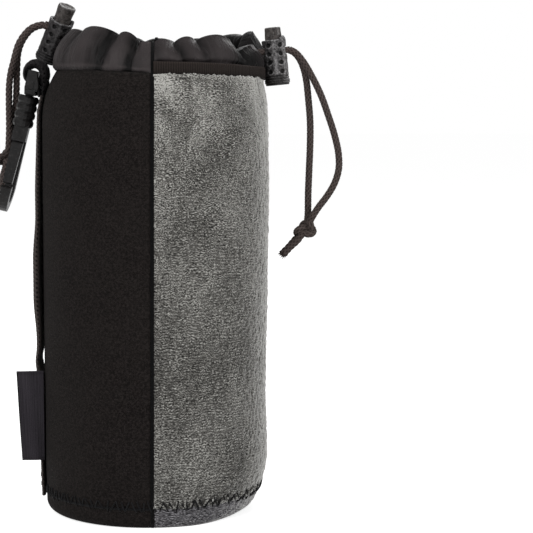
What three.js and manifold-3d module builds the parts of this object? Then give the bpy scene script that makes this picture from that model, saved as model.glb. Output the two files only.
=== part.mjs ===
// Padded drawstring lens pouch: neoprene and plush wall, gathered collar, two cord locks,
// belt strap, side label and a swivel hook. Millimetres, +Z up, origin at the centre of the base.
import * as THREE from 'three';
import { mergeVertices } from 'three/addons/utils/BufferGeometryUtils.js';
import Module from 'manifold-3d';

// Clearance between neighbouring pieces
const GAP = 0.3;

// Body wall
const BODY_RADIUS = 50;
const SEAM_HEIGHT = 194;
const SHOULDER_HEIGHT = 40;
const SHOULDER_DRAW = 3.5;
const FOOT_HEIGHT = 16;
const FOOT_DRAW = 1.2;
const SHELL_THICKNESS = 3.5;
const LINING_THICKNESS = 2.2;

// Base
const BASE_RIM_HEIGHT = 8;
const BASE_THICKNESS = 3.5;
const BASE_EDGE_RADIUS = 7.5;
const SEAM_CORD_HEIGHT = 1.2;
const SEAM_CORD_PROUD = 0.4;

// Trim strip between the two wall halves, at the front and at the back
const TRIM_WIDTH = 2;
const TRIM_PROUD = 0.4;

// Gathered collar: a folded casing that is taller and drawn in further on the left
const COLLAR_HEIGHT = 17;
const COLLAR_DRAW = 7.5;
const COLLAR_LEAN = 3;
const COLLAR_TILT = 0.0045;
const COLLAR_CURVE = 2.2;
const COLLAR_CLOTH = 0.9;
const CHANNEL_WIDTH = 9.4;
const BINDING_HEIGHT = 4.8;
const BINDING_THICKNESS = 0.9;

// Drawcord
const CORD_DIAMETER = 3.2;
const NIP_WIDTH = 5.2;
const NIP_HEIGHT = 2.6;
const NIP_REACH = 13.4;
const CHANNEL_CORD_LEVEL = 0.5;

// Cord lock
const BARREL_RADIUS = 5.4;
const BARREL_LENGTH = 20;
const BARREL_FLOOR = 2;
const BARREL_EDGE = 0.6;
const HOLE_BELOW_RIM = 4.8;
const PLUNGER_RADIUS = 3.7;
const PLUNGER_PROUD = 6.2;
const PLUNGER_BELOW_HOLE = 6.2;
const PLUNGER_EDGE = 0.5;
const PRESS_TRAVEL = 3;
const SPRING_RADIUS = 2.6;
const SPRING_WIRE = 0.7;
const SPRING_TURNS = 4;
const SPRING_TURN_STEPS = 8;
const SPRING_SIDES = 5;

// Where the locks hang: the centre of each cord hole, and the tilt of each barrel
const RIGHT_LOCK_STANDOFF = 1.4;
const RIGHT_LOCK_RISE = 10.4;
const RIGHT_LOCK_TILT = 5.5;
const LEFT_LOCK_BEARING = 160.5;
const LEFT_LOCK_LEVEL = 0.86;
const LEFT_LOCK_RISE = 20;
const LEFT_LOCK_TILT = 23.5;
const LEFT_LOCK_LEAN = 17;

// Knots at the cord ends
const KNOT_RADIUS = 4.4;
const KNOT_LENGTH = 10.4;
const KNOT_WRAP_TURN = 70;
const KNOT_STEPS = 12;
const KNOT_RINGS = 8;

// Belt strap, sewn at its top and bottom
const STRAP_WIDTH = 20;
const STRAP_THICKNESS = 1.4;
const STRAP_TOP_DROP = 11;
const STRAP_BOTTOM = 12;
const STRAP_BOW = 4.6;
const STRAP_BOW_HEIGHT = 104;
const STRAP_BOW_HALF = 8;
const STRAP_BOW_FADE = 20;
const STRAP_STEPS = 26;
const STRAP_SLACK = 1.5;

// Side label
const LABEL_WIDTH = 12;
const LABEL_LENGTH = 40;
const LABEL_THICKNESS = 0.8;
const LABEL_TOP = 63;
const LABEL_ROOT_GAP = 1.6;

// Webbing loop that carries the hook
const LOOP_WIDTH = 16;
const LOOP_THICKNESS = 1.9;
const LOOP_TAIL_THICKNESS = 1.7;
const LOOP_TAIL_DROP = 5;
const LOOP_BAR_STANDOFF = 6.9;
const LOOP_START_TURN = 40;
const LOOP_END_TURN = 310;

// Swivel hook
const HOOK_TILT = 13.5;
const EYE_BAR = 3.6;
const EYE_SLOT_HEIGHT = 4.4;
const EYE_FRAME = 2.4;
const EYE_NECK_WIDTH = 10;
const EYE_LENGTH = 9.2;
const POST_RADIUS = 1.9;
const POST_LENGTH = 6.2;
const POST_HEAD_RADIUS = 2.9;
const POST_HEAD_LENGTH = 2.4;
const GRIP_RADIUS = 4.6;
const GRIP_LENGTH = 13.9;
const GRIP_RIDGES = 4;
const GRIP_RIDGE_DEPTH = 0.6;
const GRIP_RIDGE_SLOPE = 0.3;
const HOOK_LENGTH = 62;
const HOOK_RADIUS = 9.8;
const HOOK_BAR = 4.2;
const HOOK_THICKNESS = 6.4;
const HOOK_TIP_THICKNESS = 3.4;
const HOOK_NECK_WIDTH = 7;
const GATE_WIDTH = 3.2;
const GATE_END_GAP = 0.9;
const GATE_THICKNESS_SHARE = 0.8;

// Facets
const ROUND_STEPS = 44;
const SMALL_ROUND_STEPS = 20;
const CORD_SIDES = 8;
const OUTLINE_STEPS = 8;
const WELD = 1e-4;

const wasm = await Module();
wasm.setup();

// Signed volume of an indexed triangle list, to tell which way its faces point
function signedVolume(points, triangles) {
  let sum = 0;
  for (let i = 0; i < triangles.length; i += 3) {
    const [a, b, c] = [0, 1, 2].map((k) => new THREE.Vector3().fromArray(points, 3 * triangles[i + k]));
    sum += a.dot(b.cross(c));
  }
  return sum / 6;
}

// A closed three.js geometry as a solid for cutting and joining
function solid(geometry) {
  const bare = geometry.clone();
  bare.deleteAttribute('normal');
  bare.deleteAttribute('uv');
  const welded = mergeVertices(bare, WELD);
  const points = welded.attributes.position.array;
  const index = Array.from(welded.index.array);
  const triangles = [];
  for (let i = 0; i < index.length; i += 3) {
    const [a, b, c] = index.slice(i, i + 3);
    if (a !== b && b !== c && c !== a) {
      triangles.push(a, b, c);
    }
  }
  if (signedVolume(points, triangles) < 0) {
    triangles.reverse();
  }
  return new wasm.Manifold(
    new wasm.Mesh({
      numProp: 3,
      vertProperties: new Float32Array(points),
      triVerts: new Uint32Array(triangles),
    }),
  );
}

// A solid as a three.js geometry
function geometryOf(body) {
  const mesh = body.getMesh();
  const geometry = new THREE.BufferGeometry();
  geometry.setAttribute('position', new THREE.BufferAttribute(new Float32Array(mesh.vertProperties), 3));
  geometry.setIndex(Array.from(mesh.triVerts));
  geometry.computeVertexNormals();
  return geometry;
}

// A round body about Z from a profile of [radius, height] points
function lathe(profile, steps = ROUND_STEPS) {
  const points = profile.map(([r, z]) => new THREE.Vector2(r, z));
  return new THREE.LatheGeometry(points, steps).rotateX(Math.PI / 2);
}

// A ring about Z from a closed section of [radius, height] points
function ring(section, steps = ROUND_STEPS) {
  return lathe([...section, section[0]], steps);
}

// An outline of [x, z] points or a shape, extruded along Y and centred on the middle plane
function slab(outline, width) {
  const isList = Array.isArray(outline);
  const shape = isList ? new THREE.Shape(outline.map(([x, z]) => new THREE.Vector2(x, z))) : outline;
  const options = { depth: width, bevelEnabled: false, curveSegments: OUTLINE_STEPS };
  const geometry = new THREE.ExtrudeGeometry(shape, options);
  return geometry.translate(0, 0, -width / 2).rotateX(Math.PI / 2);
}

// A block from its lowest and highest corners
function block(low, high) {
  const size = high.map((value, axis) => value - low[axis]);
  const centre = high.map((value, axis) => (value + low[axis]) / 2);
  return new THREE.BoxGeometry(...size).translate(...centre);
}

// A round tube along a curve
function tube(curve, diameter, steps, sides = CORD_SIDES) {
  const section = new THREE.Shape();
  for (let side = 0; side < sides; side += 1) {
    const turn = (2 * Math.PI * (side + 0.5)) / sides;
    const point = [(diameter / 2) * Math.cos(turn), (diameter / 2) * Math.sin(turn)];
    if (side === 0) {
      section.moveTo(...point);
    } else {
      section.lineTo(...point);
    }
  }
  section.closePath();
  return new THREE.ExtrudeGeometry(section, { steps, extrudePath: curve, bevelEnabled: false });
}

// Moves each point of a geometry by a function of its place
function reshape(geometry, move) {
  const place = geometry.attributes.position;
  const point = new THREE.Vector3();
  for (let i = 0; i < place.count; i += 1) {
    move(point.fromBufferAttribute(place, i));
    place.setXYZ(i, point.x, point.y, point.z);
  }
  return geometry;
}

const radians = THREE.MathUtils.degToRad;

// Body wall

const seamRadius = BODY_RADIUS - SHOULDER_DRAW;
const wallFoot = BASE_RIM_HEIGHT + 2 * GAP + SEAM_CORD_HEIGHT;

// Outer radius of the wall at a height
function wallRadius(z) {
  const shoulder = Math.max(0, (z - SEAM_HEIGHT + SHOULDER_HEIGHT) / SHOULDER_HEIGHT);
  const foot = Math.max(0, 1 - (z - BASE_RIM_HEIGHT) / FOOT_HEIGHT);
  return BODY_RADIUS - SHOULDER_DRAW * shoulder ** 2 - FOOT_DRAW * Math.min(1, foot) ** 2;
}

// Heights at which the wall's curve is sampled
function wallHeights(bottom) {
  const share = [0.5, 0.8];
  const shoulder = share.map((part) => SEAM_HEIGHT - SHOULDER_HEIGHT * (1 - part));
  const foot = bottom + FOOT_HEIGHT;
  return [bottom, (bottom + foot) / 2, foot, SEAM_HEIGHT - SHOULDER_HEIGHT, ...shoulder, SEAM_HEIGHT];
}

// Section of a wall layer that starts at a depth under the outer face
function wallSection(depth, thickness, bottom) {
  const heights = wallHeights(bottom);
  const outer = heights.map((z) => [wallRadius(z) - depth, z]);
  const inner = heights.map((z) => [wallRadius(z) - depth - thickness, z]);
  return [...outer, ...inner.reverse()];
}

// Keeps the part of a solid on one side of the trim strip: -1 is left, 1 is right
function half(body, side) {
  const reach = 2 * BODY_RADIUS;
  const edge = TRIM_WIDTH / 2 + GAP;
  const far = side < 0 ? [[-edge, -reach, -reach], [reach, reach, 4 * reach]]
    : [[-reach, -reach, -reach], [edge, reach, 4 * reach]];
  return body.subtract(solid(block(...far)));
}

const liningDepth = SHELL_THICKNESS + 2 * GAP;
const liningFloor = BASE_THICKNESS + GAP;
const liningFoot = liningFloor + LINING_THICKNESS + GAP;

function wallHalf(side) {
  return geometryOf(half(solid(ring(wallSection(0, SHELL_THICKNESS, wallFoot))), side));
}

function liningTube() {
  return geometryOf(solid(ring(wallSection(liningDepth, LINING_THICKNESS, liningFoot))));
}

function liningBase() {
  const radius = wallRadius(liningFloor) - liningDepth;
  const top = liningFloor + LINING_THICKNESS;
  return geometryOf(solid(lathe([[0, liningFloor], [radius, liningFloor], [radius, top], [0, top]])));
}

// Base panel: a disc whose rounded edge turns up to the base seam

function basePanel() {
  const rim = wallRadius(BASE_RIM_HEIGHT);
  const inside = rim - SHELL_THICKNESS;
  const edge = BASE_EDGE_RADIUS;
  const turns = [0, 0.25, 0.5, 0.75, 1].map((share) => (share * Math.PI) / 2);
  const corner = turns.map((turn) => [rim - edge + edge * Math.sin(turn), edge - edge * Math.cos(turn)]);
  const profile = [
    [0, 0],
    ...corner,
    [rim, BASE_RIM_HEIGHT],
    [inside, BASE_RIM_HEIGHT],
    [inside, BASE_THICKNESS],
    [0, BASE_THICKNESS],
  ];
  return geometryOf(solid(lathe(profile)));
}

function baseSeam() {
  const bottom = BASE_RIM_HEIGHT + GAP;
  const top = bottom + SEAM_CORD_HEIGHT;
  const outer = wallRadius(BASE_RIM_HEIGHT);
  const inner = outer - SHELL_THICKNESS;
  const proud = outer + SEAM_CORD_PROUD;
  const section = [
    [inner, bottom],
    [outer, bottom],
    [proud, (bottom + top) / 2],
    [outer, top],
    [inner, top],
  ];
  return geometryOf(solid(ring(section)));
}

// Gathered collar

const collarFoot = SEAM_HEIGHT + GAP;
const collarLevels = [0, 0.3, 0.6, 0.85, 0.95];
const channelLevels = [0, 0.3, 0.6, 0.85];

function collarOuter(level) {
  return seamRadius - COLLAR_DRAW * level ** COLLAR_CURVE;
}

// Width of the casing from its outer to its inner face: it stands on the shell and on the lining
function collarWidth(level) {
  const foot = liningDepth + LINING_THICKNESS;
  const swell = foot + (CHANNEL_WIDTH - foot) * Math.min(1, 2 * level);
  return swell * Math.sqrt(1 - level ** 4);
}

function collarZ(level) {
  return collarFoot + COLLAR_HEIGHT * level;
}

// The casing's section: an inverted U round the cord channel
function collarSection(proud = 0) {
  const outer = collarLevels.map((level) => [collarOuter(level) + proud, collarZ(level)]);
  const top = [collarOuter(1) + proud / 2, collarZ(1) + proud];
  const inner = collarLevels.map((level) => [collarOuter(level) - collarWidth(level), collarZ(level)]);
  const inside = channelLevels.map((level) => {
    return [collarOuter(level) - collarWidth(level) + COLLAR_CLOTH, collarZ(level)];
  });
  const outside = channelLevels.map((level) => [collarOuter(level) - COLLAR_CLOTH, collarZ(level)]);
  return { outer, top, inner: inner.reverse(), inside, outside: outside.reverse() };
}

// The collar stands taller on the left and leans to the right as it rises
function tiltCollar(point) {
  const level = Math.max(0, (point.z - collarFoot) / COLLAR_HEIGHT);
  point.z += level * COLLAR_HEIGHT * -COLLAR_TILT * point.x;
  point.x += COLLAR_LEAN * Math.min(1, level) ** COLLAR_CURVE;
}

function collarHalf(side, cordSlot) {
  const { outer, top, inner, inside, outside } = collarSection();
  const casing = solid(reshape(ring([...outer, top, ...inner, ...inside, ...outside]), tiltCollar));
  return geometryOf(half(casing, side).subtract(cordSlot));
}

// Grosgrain binding round the foot of the right collar half
function bindingTape() {
  const levels = [0, 0.5, 1].map((share) => (share * BINDING_HEIGHT) / COLLAR_HEIGHT);
  const face = levels.map((level) => [collarOuter(level) + GAP, collarZ(level)]);
  const back = levels.map((level) => [collarOuter(level) + GAP + BINDING_THICKNESS, collarZ(level)]);
  return geometryOf(half(solid(reshape(ring([...back, ...face.reverse()]), tiltCollar)), 1));
}

// Trim strip that fills the joint of the wall halves and of the collar halves
function seamTrim(side) {
  const heights = wallHeights(wallFoot);
  const outer = heights.map((z) => [wallRadius(z) + TRIM_PROUD, z]);
  const inner = heights.map((z) => [wallRadius(z) - SHELL_THICKNESS, z]).reverse();
  const collar = collarSection(TRIM_PROUD);
  const section = [
    ...outer,
    ...collar.outer,
    collar.top,
    ...collar.inner,
    ...collar.inside,
    ...collar.outside,
    ...inner,
  ];
  const strip = slab(section, TRIM_WIDTH).rotateZ((side * Math.PI) / 2);
  return geometryOf(solid(strip));
}

// Drawcord inside the channel, from one side's lock round to the other's

class ChannelCurve extends THREE.Curve {
  constructor(start, end) {
    super();
    this.start = start;
    this.end = end;
  }

  getPoint(share, target = new THREE.Vector3()) {
    const bearing = this.start + (this.end - this.start) * share;
    const level = CHANNEL_CORD_LEVEL;
    const radius = collarOuter(level) - collarWidth(level) / 2;
    target.set(radius * Math.cos(bearing), radius * Math.sin(bearing), collarZ(level));
    tiltCollar(target);
    return target;
  }
}

function channelCord(direction) {
  const radius = collarOuter(CHANNEL_CORD_LEVEL) - collarWidth(CHANNEL_CORD_LEVEL) / 2;
  const clear = (NIP_WIDTH / 2 + 2 * GAP) / radius;
  const left = radians(LEFT_LOCK_BEARING);
  const start = direction > 0 ? clear : -clear;
  const end = direction > 0 ? left - clear : left - 2 * Math.PI + clear;
  return geometryOf(solid(tube(new ChannelCurve(start, end), CORD_DIAMETER, SMALL_ROUND_STEPS)));
}

// Cord lock, about the centre of its cord hole: +Z is the press axis, +X the way the cord leaves

const barrelTop = HOLE_BELOW_RIM;
const barrelBottom = barrelTop - BARREL_LENGTH;
const boreRadius = PLUNGER_RADIUS + GAP;
const boreFloor = barrelBottom + BARREL_FLOOR;

function cordHole(clearance, low, high) {
  const side = NIP_WIDTH / 2 + clearance;
  return solid(block([-2 * BARREL_RADIUS, -side, low], [2 * BARREL_RADIUS, side, high]));
}

function lockBarrel() {
  const profile = [
    [0, barrelBottom],
    [BARREL_RADIUS - BARREL_EDGE, barrelBottom],
    [BARREL_RADIUS, barrelBottom + BARREL_EDGE],
    [BARREL_RADIUS, barrelTop - BARREL_EDGE],
    [BARREL_RADIUS - BARREL_EDGE, barrelTop],
    [boreRadius, barrelTop],
    [boreRadius, boreFloor],
    [0, boreFloor],
  ];
  const height = NIP_HEIGHT / 2 + GAP;
  return geometryOf(solid(lathe(profile, SMALL_ROUND_STEPS)).subtract(cordHole(GAP, -height, height)));
}

function lockPlunger() {
  const top = barrelTop + PLUNGER_PROUD;
  const bottom = -PLUNGER_BELOW_HOLE;
  const profile = [
    [0, bottom],
    [PLUNGER_RADIUS, bottom],
    [PLUNGER_RADIUS, top - PLUNGER_EDGE],
    [PLUNGER_RADIUS - PLUNGER_EDGE, top],
    [0, top],
  ];
  const low = -NIP_HEIGHT / 2 - GAP;
  const high = NIP_HEIGHT / 2 + GAP + PRESS_TRAVEL;
  return geometryOf(solid(lathe(profile, SMALL_ROUND_STEPS)).subtract(cordHole(GAP, low, high)));
}

class SpringCurve extends THREE.Curve {
  getPoint(share, target = new THREE.Vector3()) {
    const low = boreFloor + GAP + SPRING_WIRE / 2;
    const high = -PLUNGER_BELOW_HOLE - GAP - SPRING_WIRE / 2;
    const turn = 2 * Math.PI * SPRING_TURNS * share;
    const z = low + (high - low) * share;
    return target.set(SPRING_RADIUS * Math.cos(turn), SPRING_RADIUS * Math.sin(turn), z);
  }
}

const springSteps = SPRING_TURNS * SPRING_TURN_STEPS;

function lockSpring() {
  return geometryOf(solid(tube(new SpringCurve(), SPRING_WIRE, springSteps, SPRING_SIDES)));
}

// Least space between neighbouring turns of the lock spring, measured on its points
function springGap() {
  const points = new SpringCurve().getPoints(springSteps);
  let least = Infinity;
  points.forEach((point, i) => {
    points.slice(i + 1 + SPRING_TURN_STEPS / 2).forEach((other) => {
      least = Math.min(least, point.distanceTo(other) - SPRING_WIRE);
    });
  });
  return least;
}

console.log(`Least gap between the lock spring's turns: ${springGap().toFixed(2)} mm`);

// The two strands of drawcord where they are squeezed flat through the lock
function cordNip() {
  const shape = new THREE.Shape();
  const round = NIP_HEIGHT / 2;
  const side = NIP_WIDTH / 2 - round;
  shape.absarc(side, 0, round, -Math.PI / 2, Math.PI / 2);
  shape.absarc(-side, 0, round, Math.PI / 2, (3 * Math.PI) / 2);
  const length = NIP_REACH + BARREL_RADIUS;
  const options = { depth: length, bevelEnabled: false, curveSegments: OUTLINE_STEPS / 2 };
  const strip = new THREE.ExtrudeGeometry(shape, options);
  strip.translate(0, 0, -NIP_REACH);
  strip.rotateZ(Math.PI / 2);
  strip.rotateY(Math.PI / 2);
  return geometryOf(solid(strip));
}

// Slot in the collar cloth that the squeezed cord passes through
function cordSlot(frame) {
  const side = NIP_WIDTH / 2 + 2 * GAP;
  const height = NIP_HEIGHT / 2 + 2 * GAP;
  const slot = block([-NIP_REACH - GAP, -side, -height], [BARREL_RADIUS, side, height]);
  return solid(slot.applyMatrix4(frame));
}

// Frame of a lock from its hole's centre, its press axis and the way its cord leaves
function lockFrame(centre, press, out) {
  const side = new THREE.Vector3().crossVectors(press, out);
  return new THREE.Matrix4().makeBasis(out, side, press).setPosition(centre);
}

function rightLockFrame() {
  const centre = new THREE.Vector3(
    seamRadius + BARREL_RADIUS + RIGHT_LOCK_STANDOFF,
    0,
    SEAM_HEIGHT + RIGHT_LOCK_RISE,
  );
  const tilt = radians(RIGHT_LOCK_TILT);
  const press = new THREE.Vector3(-Math.sin(tilt), 0, Math.cos(tilt));
  const out = new THREE.Vector3(Math.cos(tilt), 0, Math.sin(tilt));
  return lockFrame(centre, press, out);
}

function leftLockFrame() {
  const bearing = radians(LEFT_LOCK_BEARING);
  const radius = collarOuter(LEFT_LOCK_LEVEL) + BARREL_RADIUS;
  const centre = new THREE.Vector3(
    radius * Math.cos(bearing),
    radius * Math.sin(bearing),
    SEAM_HEIGHT + LEFT_LOCK_RISE,
  );
  const tilt = radians(LEFT_LOCK_TILT);
  const lean = radians(LEFT_LOCK_LEAN);
  const out = new THREE.Vector3(-Math.cos(tilt), 0, Math.sin(tilt));
  const press = new THREE.Vector3(Math.sin(tilt), 0, Math.cos(tilt)).applyAxisAngle(out, -lean);
  return lockFrame(centre, press, out);
}

// Free cord beyond each lock: [x, y, z] from the point where the cord leaves the lock

const rightInnerRoute = [
  [0, 1.75, 0],
  [2.6, 1.8, -1.4],
  [5, 1.8, -4.4],
  [6.7, 1.8, -8.5],
  [7.8, 1.8, -13.2],
  [8.8, 1.8, -22],
  [9.6, 1.8, -32],
  [9.6, 1.8, -42.6],
  [9.2, 1.8, -53.3],
  [8.8, 1.8, -64],
  [8.6, 1.8, -74.6],
];
const rightOuterRoute = [
  [0, -1.75, 0],
  [2.7, -1.8, -1.4],
  [6.1, -1.8, -5.2],
  [10.5, -1.8, -12.6],
  [14.3, -1.8, -20.5],
  [17.4, -1.8, -29],
  [20.2, -1.8, -37.6],
  [22.1, -1.8, -46.2],
  [22.2, -1.8, -53.2],
  [20.3, -1.8, -59.6],
  [17, -1.8, -65.2],
  [13.2, -1.8, -70.2],
  [10.5, -1.8, -74.4],
];
const rightKnotPlace = [8.3, 0, -79.4];
const rightTailRoutes = [
  [[6.7, 1.2, -81], [3.3, 1.5, -84.6], [0.1, 1.4, -88.4], [-2.9, 1.7, -91.6]],
  [[6.7, -1.2, -81], [3.7, -1.7, -85], [0.3, -1.6, -88], [-2.5, -1.9, -91]],
];

const leftFrontRoute = [
  [0, -1.75, 0],
  [-3.1, -1.8, -0.5],
  [-6.3, -1.8, -2],
  [-9.2, -1.8, -4.9],
  [-11.8, -1.8, -9.2],
  [-13.2, -1.8, -13.6],
  [-14.2, -1.7, -17.4],
  [-15.3, -1.5, -21.4],
  [-16.1, -1.3, -27],
  [-16.3, -1.3, -33.7],
  [-16.3, -1.5, -40.5],
  [-16.3, -1.7, -46.3],
  [-16.7, -1.8, -54.8],
];
const leftBackRoute = [
  [0, 1.75, 0],
  [-3.1, 1.8, -0.5],
  [-6.2, 1.8, -2],
  [-9, 1.8, -5],
  [-11.4, 1.8, -9.4],
  [-12.5, 1.8, -14],
  [-12.8, 1.8, -18.4],
  [-13, 1.7, -22.8],
  [-13.2, 1.6, -29.2],
  [-13.6, 1.6, -36],
  [-14.6, 1.7, -42.7],
  [-15.8, 1.8, -49.4],
  [-16.8, 1.8, -54.8],
];
const leftKnotPlace = [-17.6, 1.6, -59.8];
const leftTailRoutes = [
  [[-18, 0.6, -62], [-18.8, 0.2, -66.4], [-19.4, 0.1, -70.6], [-19.8, -0.2, -74.2]],
  [[-18, 2.8, -62], [-19.2, 3.3, -66], [-20.4, 3.4, -69.8], [-21.2, 3.7, -73]],
];

function curveThrough(route) {
  return new THREE.CatmullRomCurve3(route.map((point) => new THREE.Vector3(...point)), false, 'centripetal');
}

function cordStrand(route) {
  return geometryOf(solid(tube(curveThrough(route), CORD_DIAMETER, 2 * route.length)));
}

// An overhand knot: its rounded body, the wrap round it and the two cut ends
function cordKnot(place, tails) {
  const ball = new THREE.SphereGeometry(KNOT_RADIUS, KNOT_STEPS, KNOT_RINGS);
  ball.scale(KNOT_LENGTH / (2 * KNOT_RADIUS), 1, 1);
  const wrapRadius = KNOT_RADIUS - CORD_DIAMETER / 4;
  const wrap = new THREE.TorusGeometry(wrapRadius, CORD_DIAMETER / 2, CORD_SIDES, KNOT_STEPS);
  wrap.rotateY(radians(KNOT_WRAP_TURN));
  const body = solid(ball).add(solid(wrap)).translate(place);
  const joined = tails.reduce((knot, route) => {
    return knot.add(solid(tube(curveThrough(route), CORD_DIAMETER, 2 * route.length)));
  }, body);
  return geometryOf(joined);
}

// Belt strap along the left side

const strapTop = SEAM_HEIGHT - STRAP_TOP_DROP;

// Space between the wall and the strap: it bows out in the middle and lies close at both ends
function strapOffset(z) {
  const away = Math.max(0, Math.abs(z - STRAP_BOW_HEIGHT) - STRAP_BOW_HALF);
  const fade = Math.max(0, 1 - away / STRAP_BOW_FADE);
  const ends = Math.min(1, (strapTop - z) / SHOULDER_HEIGHT, (z - STRAP_BOTTOM) / SHOULDER_HEIGHT);
  const slack = STRAP_SLACK * Math.max(0, ends) ** 2;
  return GAP + slack + (STRAP_BOW - STRAP_SLACK - GAP) * fade * fade * (3 - 2 * fade);
}

function beltStrap() {
  const step = (strapTop - STRAP_BOTTOM) / STRAP_STEPS;
  const heights = Array.from({ length: STRAP_STEPS + 1 }, (_, i) => STRAP_BOTTOM + step * i);
  const inner = heights.map((z) => [-wallRadius(z) - strapOffset(z), z]);
  const outer = inner.map(([x, z]) => [x - STRAP_THICKNESS, z]);
  return geometryOf(solid(slab([...inner, ...outer.reverse()], STRAP_WIDTH)));
}

// Side label: a folded cloth tag in front of the strap

function labelRoot() {
  const y = -STRAP_WIDTH / 2 - LABEL_ROOT_GAP;
  const x = -Math.sqrt(BODY_RADIUS ** 2 - y ** 2) - GAP - LABEL_THICKNESS / 2;
  return new THREE.Vector3(x, y, LABEL_TOP);
}

function sideLabel() {
  const root = labelRoot();
  const low = [root.x - LABEL_WIDTH, root.y - LABEL_THICKNESS / 2, LABEL_TOP - LABEL_LENGTH];
  return geometryOf(solid(block(low, [root.x, root.y + LABEL_THICKNESS / 2, LABEL_TOP])));
}

// Hook, about the centre of its eye bar: +X is its thickness, +Y its width, -Z runs down to its tip

const barCorner = EYE_BAR * Math.SQRT1_2;
const loopInside = barCorner + GAP;
const loopOutside = loopInside + LOOP_THICKNESS;
const loopTailTop = SEAM_HEIGHT - LOOP_TAIL_DROP;
const loopTailBottom = strapTop + 2 * GAP;
const barPlace = new THREE.Vector3(-seamRadius - LOOP_BAR_STANDOFF, 0, SEAM_HEIGHT - GAP);

// Webbing loop: round the eye bar, with both ends sewn to the wall under the collar
function hookLoop() {
  const shape = new THREE.Shape();
  const inner = (z) => -wallRadius(z) - GAP;
  shape.absarc(barPlace.x, barPlace.z, loopOutside, radians(LOOP_START_TURN), radians(LOOP_END_TURN));
  const tailFace = inner(loopTailBottom) - LOOP_TAIL_THICKNESS;
  shape.lineTo(tailFace, (loopTailTop + loopTailBottom) / 2);
  shape.lineTo(tailFace, loopTailBottom);
  shape.lineTo(inner(loopTailBottom), loopTailBottom);
  shape.lineTo(inner(loopTailTop), loopTailTop);
  shape.closePath();
  const hole = new THREE.Path();
  hole.absarc(barPlace.x, barPlace.z, loopInside, 0, 2 * Math.PI);
  shape.holes.push(hole);
  return geometryOf(solid(slab(shape, LOOP_WIDTH)));
}

const eyeHalf = LOOP_WIDTH / 2 + 2 * GAP;
const eyeOuterHalf = eyeHalf + EYE_FRAME;
const slotBottom = -EYE_BAR / 2 - EYE_SLOT_HEIGHT;
const gripTop = -EYE_LENGTH - GAP;
const gripBottom = gripTop - GRIP_LENGTH;
const postBottom = -EYE_LENGTH - POST_LENGTH;
const headBottom = postBottom - POST_HEAD_LENGTH;

// A flat outline of [y, z] points or a shape, extruded through the hook's thickness
function plate(outline, thickness) {
  return slab(outline, thickness).rotateZ(Math.PI / 2);
}

function hookEye() {
  const top = EYE_BAR / 2;
  const neck = EYE_NECK_WIDTH / 2;
  const frame = [
    [-eyeOuterHalf, slotBottom],
    [-neck, -EYE_LENGTH],
    [neck, -EYE_LENGTH],
    [eyeOuterHalf, slotBottom],
    [eyeOuterHalf, top - GAP],
    [eyeOuterHalf - GAP, top],
    [-eyeOuterHalf + GAP, top],
    [-eyeOuterHalf, top - GAP],
  ];
  const slot = [[-eyeHalf, slotBottom], [eyeHalf, slotBottom], [eyeHalf, -top], [-eyeHalf, -top]];
  const post = [
    [0, headBottom],
    [POST_HEAD_RADIUS, headBottom],
    [POST_HEAD_RADIUS, postBottom],
    [POST_RADIUS, postBottom],
    [POST_RADIUS, -EYE_LENGTH + POST_RADIUS],
    [0, -EYE_LENGTH + POST_RADIUS],
  ];
  const open = solid(plate(frame, EYE_BAR)).subtract(solid(plate(slot, 2 * EYE_BAR)));
  return geometryOf(open.add(solid(lathe(post, SMALL_ROUND_STEPS))));
}

// Ridged grip round the swivel post, open at the top
function hookGrip() {
  const ridge = GRIP_LENGTH / GRIP_RIDGES;
  const outside = [];
  for (let i = 0; i < GRIP_RIDGES; i += 1) {
    const low = gripBottom + i * ridge;
    outside.push([GRIP_RADIUS - GRIP_RIDGE_DEPTH, low]);
    outside.push([GRIP_RADIUS, low + GRIP_RIDGE_SLOPE * ridge]);
    outside.push([GRIP_RADIUS, low + (1 - GRIP_RIDGE_SLOPE) * ridge]);
  }
  outside.push([GRIP_RADIUS - GRIP_RIDGE_DEPTH, gripTop]);
  const profile = [
    [0, gripBottom],
    ...outside,
    [POST_RADIUS + GAP, gripTop],
    [POST_RADIUS + GAP, postBottom + GAP],
    [POST_HEAD_RADIUS + GAP, postBottom + GAP],
    [POST_HEAD_RADIUS + GAP, headBottom - GAP],
    [0, headBottom - GAP],
  ];
  return lathe(profile, SMALL_ROUND_STEPS);
}

const bowCentre = HOOK_RADIUS - HOOK_LENGTH;
const bowInside = HOOK_RADIUS - HOOK_BAR;
const neckHalf = HOOK_NECK_WIDTH / 2;
const gateRound = GATE_WIDTH / 2;

// Outer half width of the hook at a height: it widens evenly from the grip down to the bow
function flank(z) {
  return neckHalf + ((HOOK_RADIUS - neckHalf) * (gripBottom - z)) / (gripBottom - bowCentre);
}

const gatePivot = { y: -flank(gripBottom - 2 * HOOK_BAR) + gateRound, z: gripBottom - 2 * HOOK_BAR };
const gateEnd = {
  y: -HOOK_RADIUS + HOOK_BAR / 2,
  z: bowCentre + HOOK_BAR / 2 + gateRound + GATE_END_GAP,
};

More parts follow.
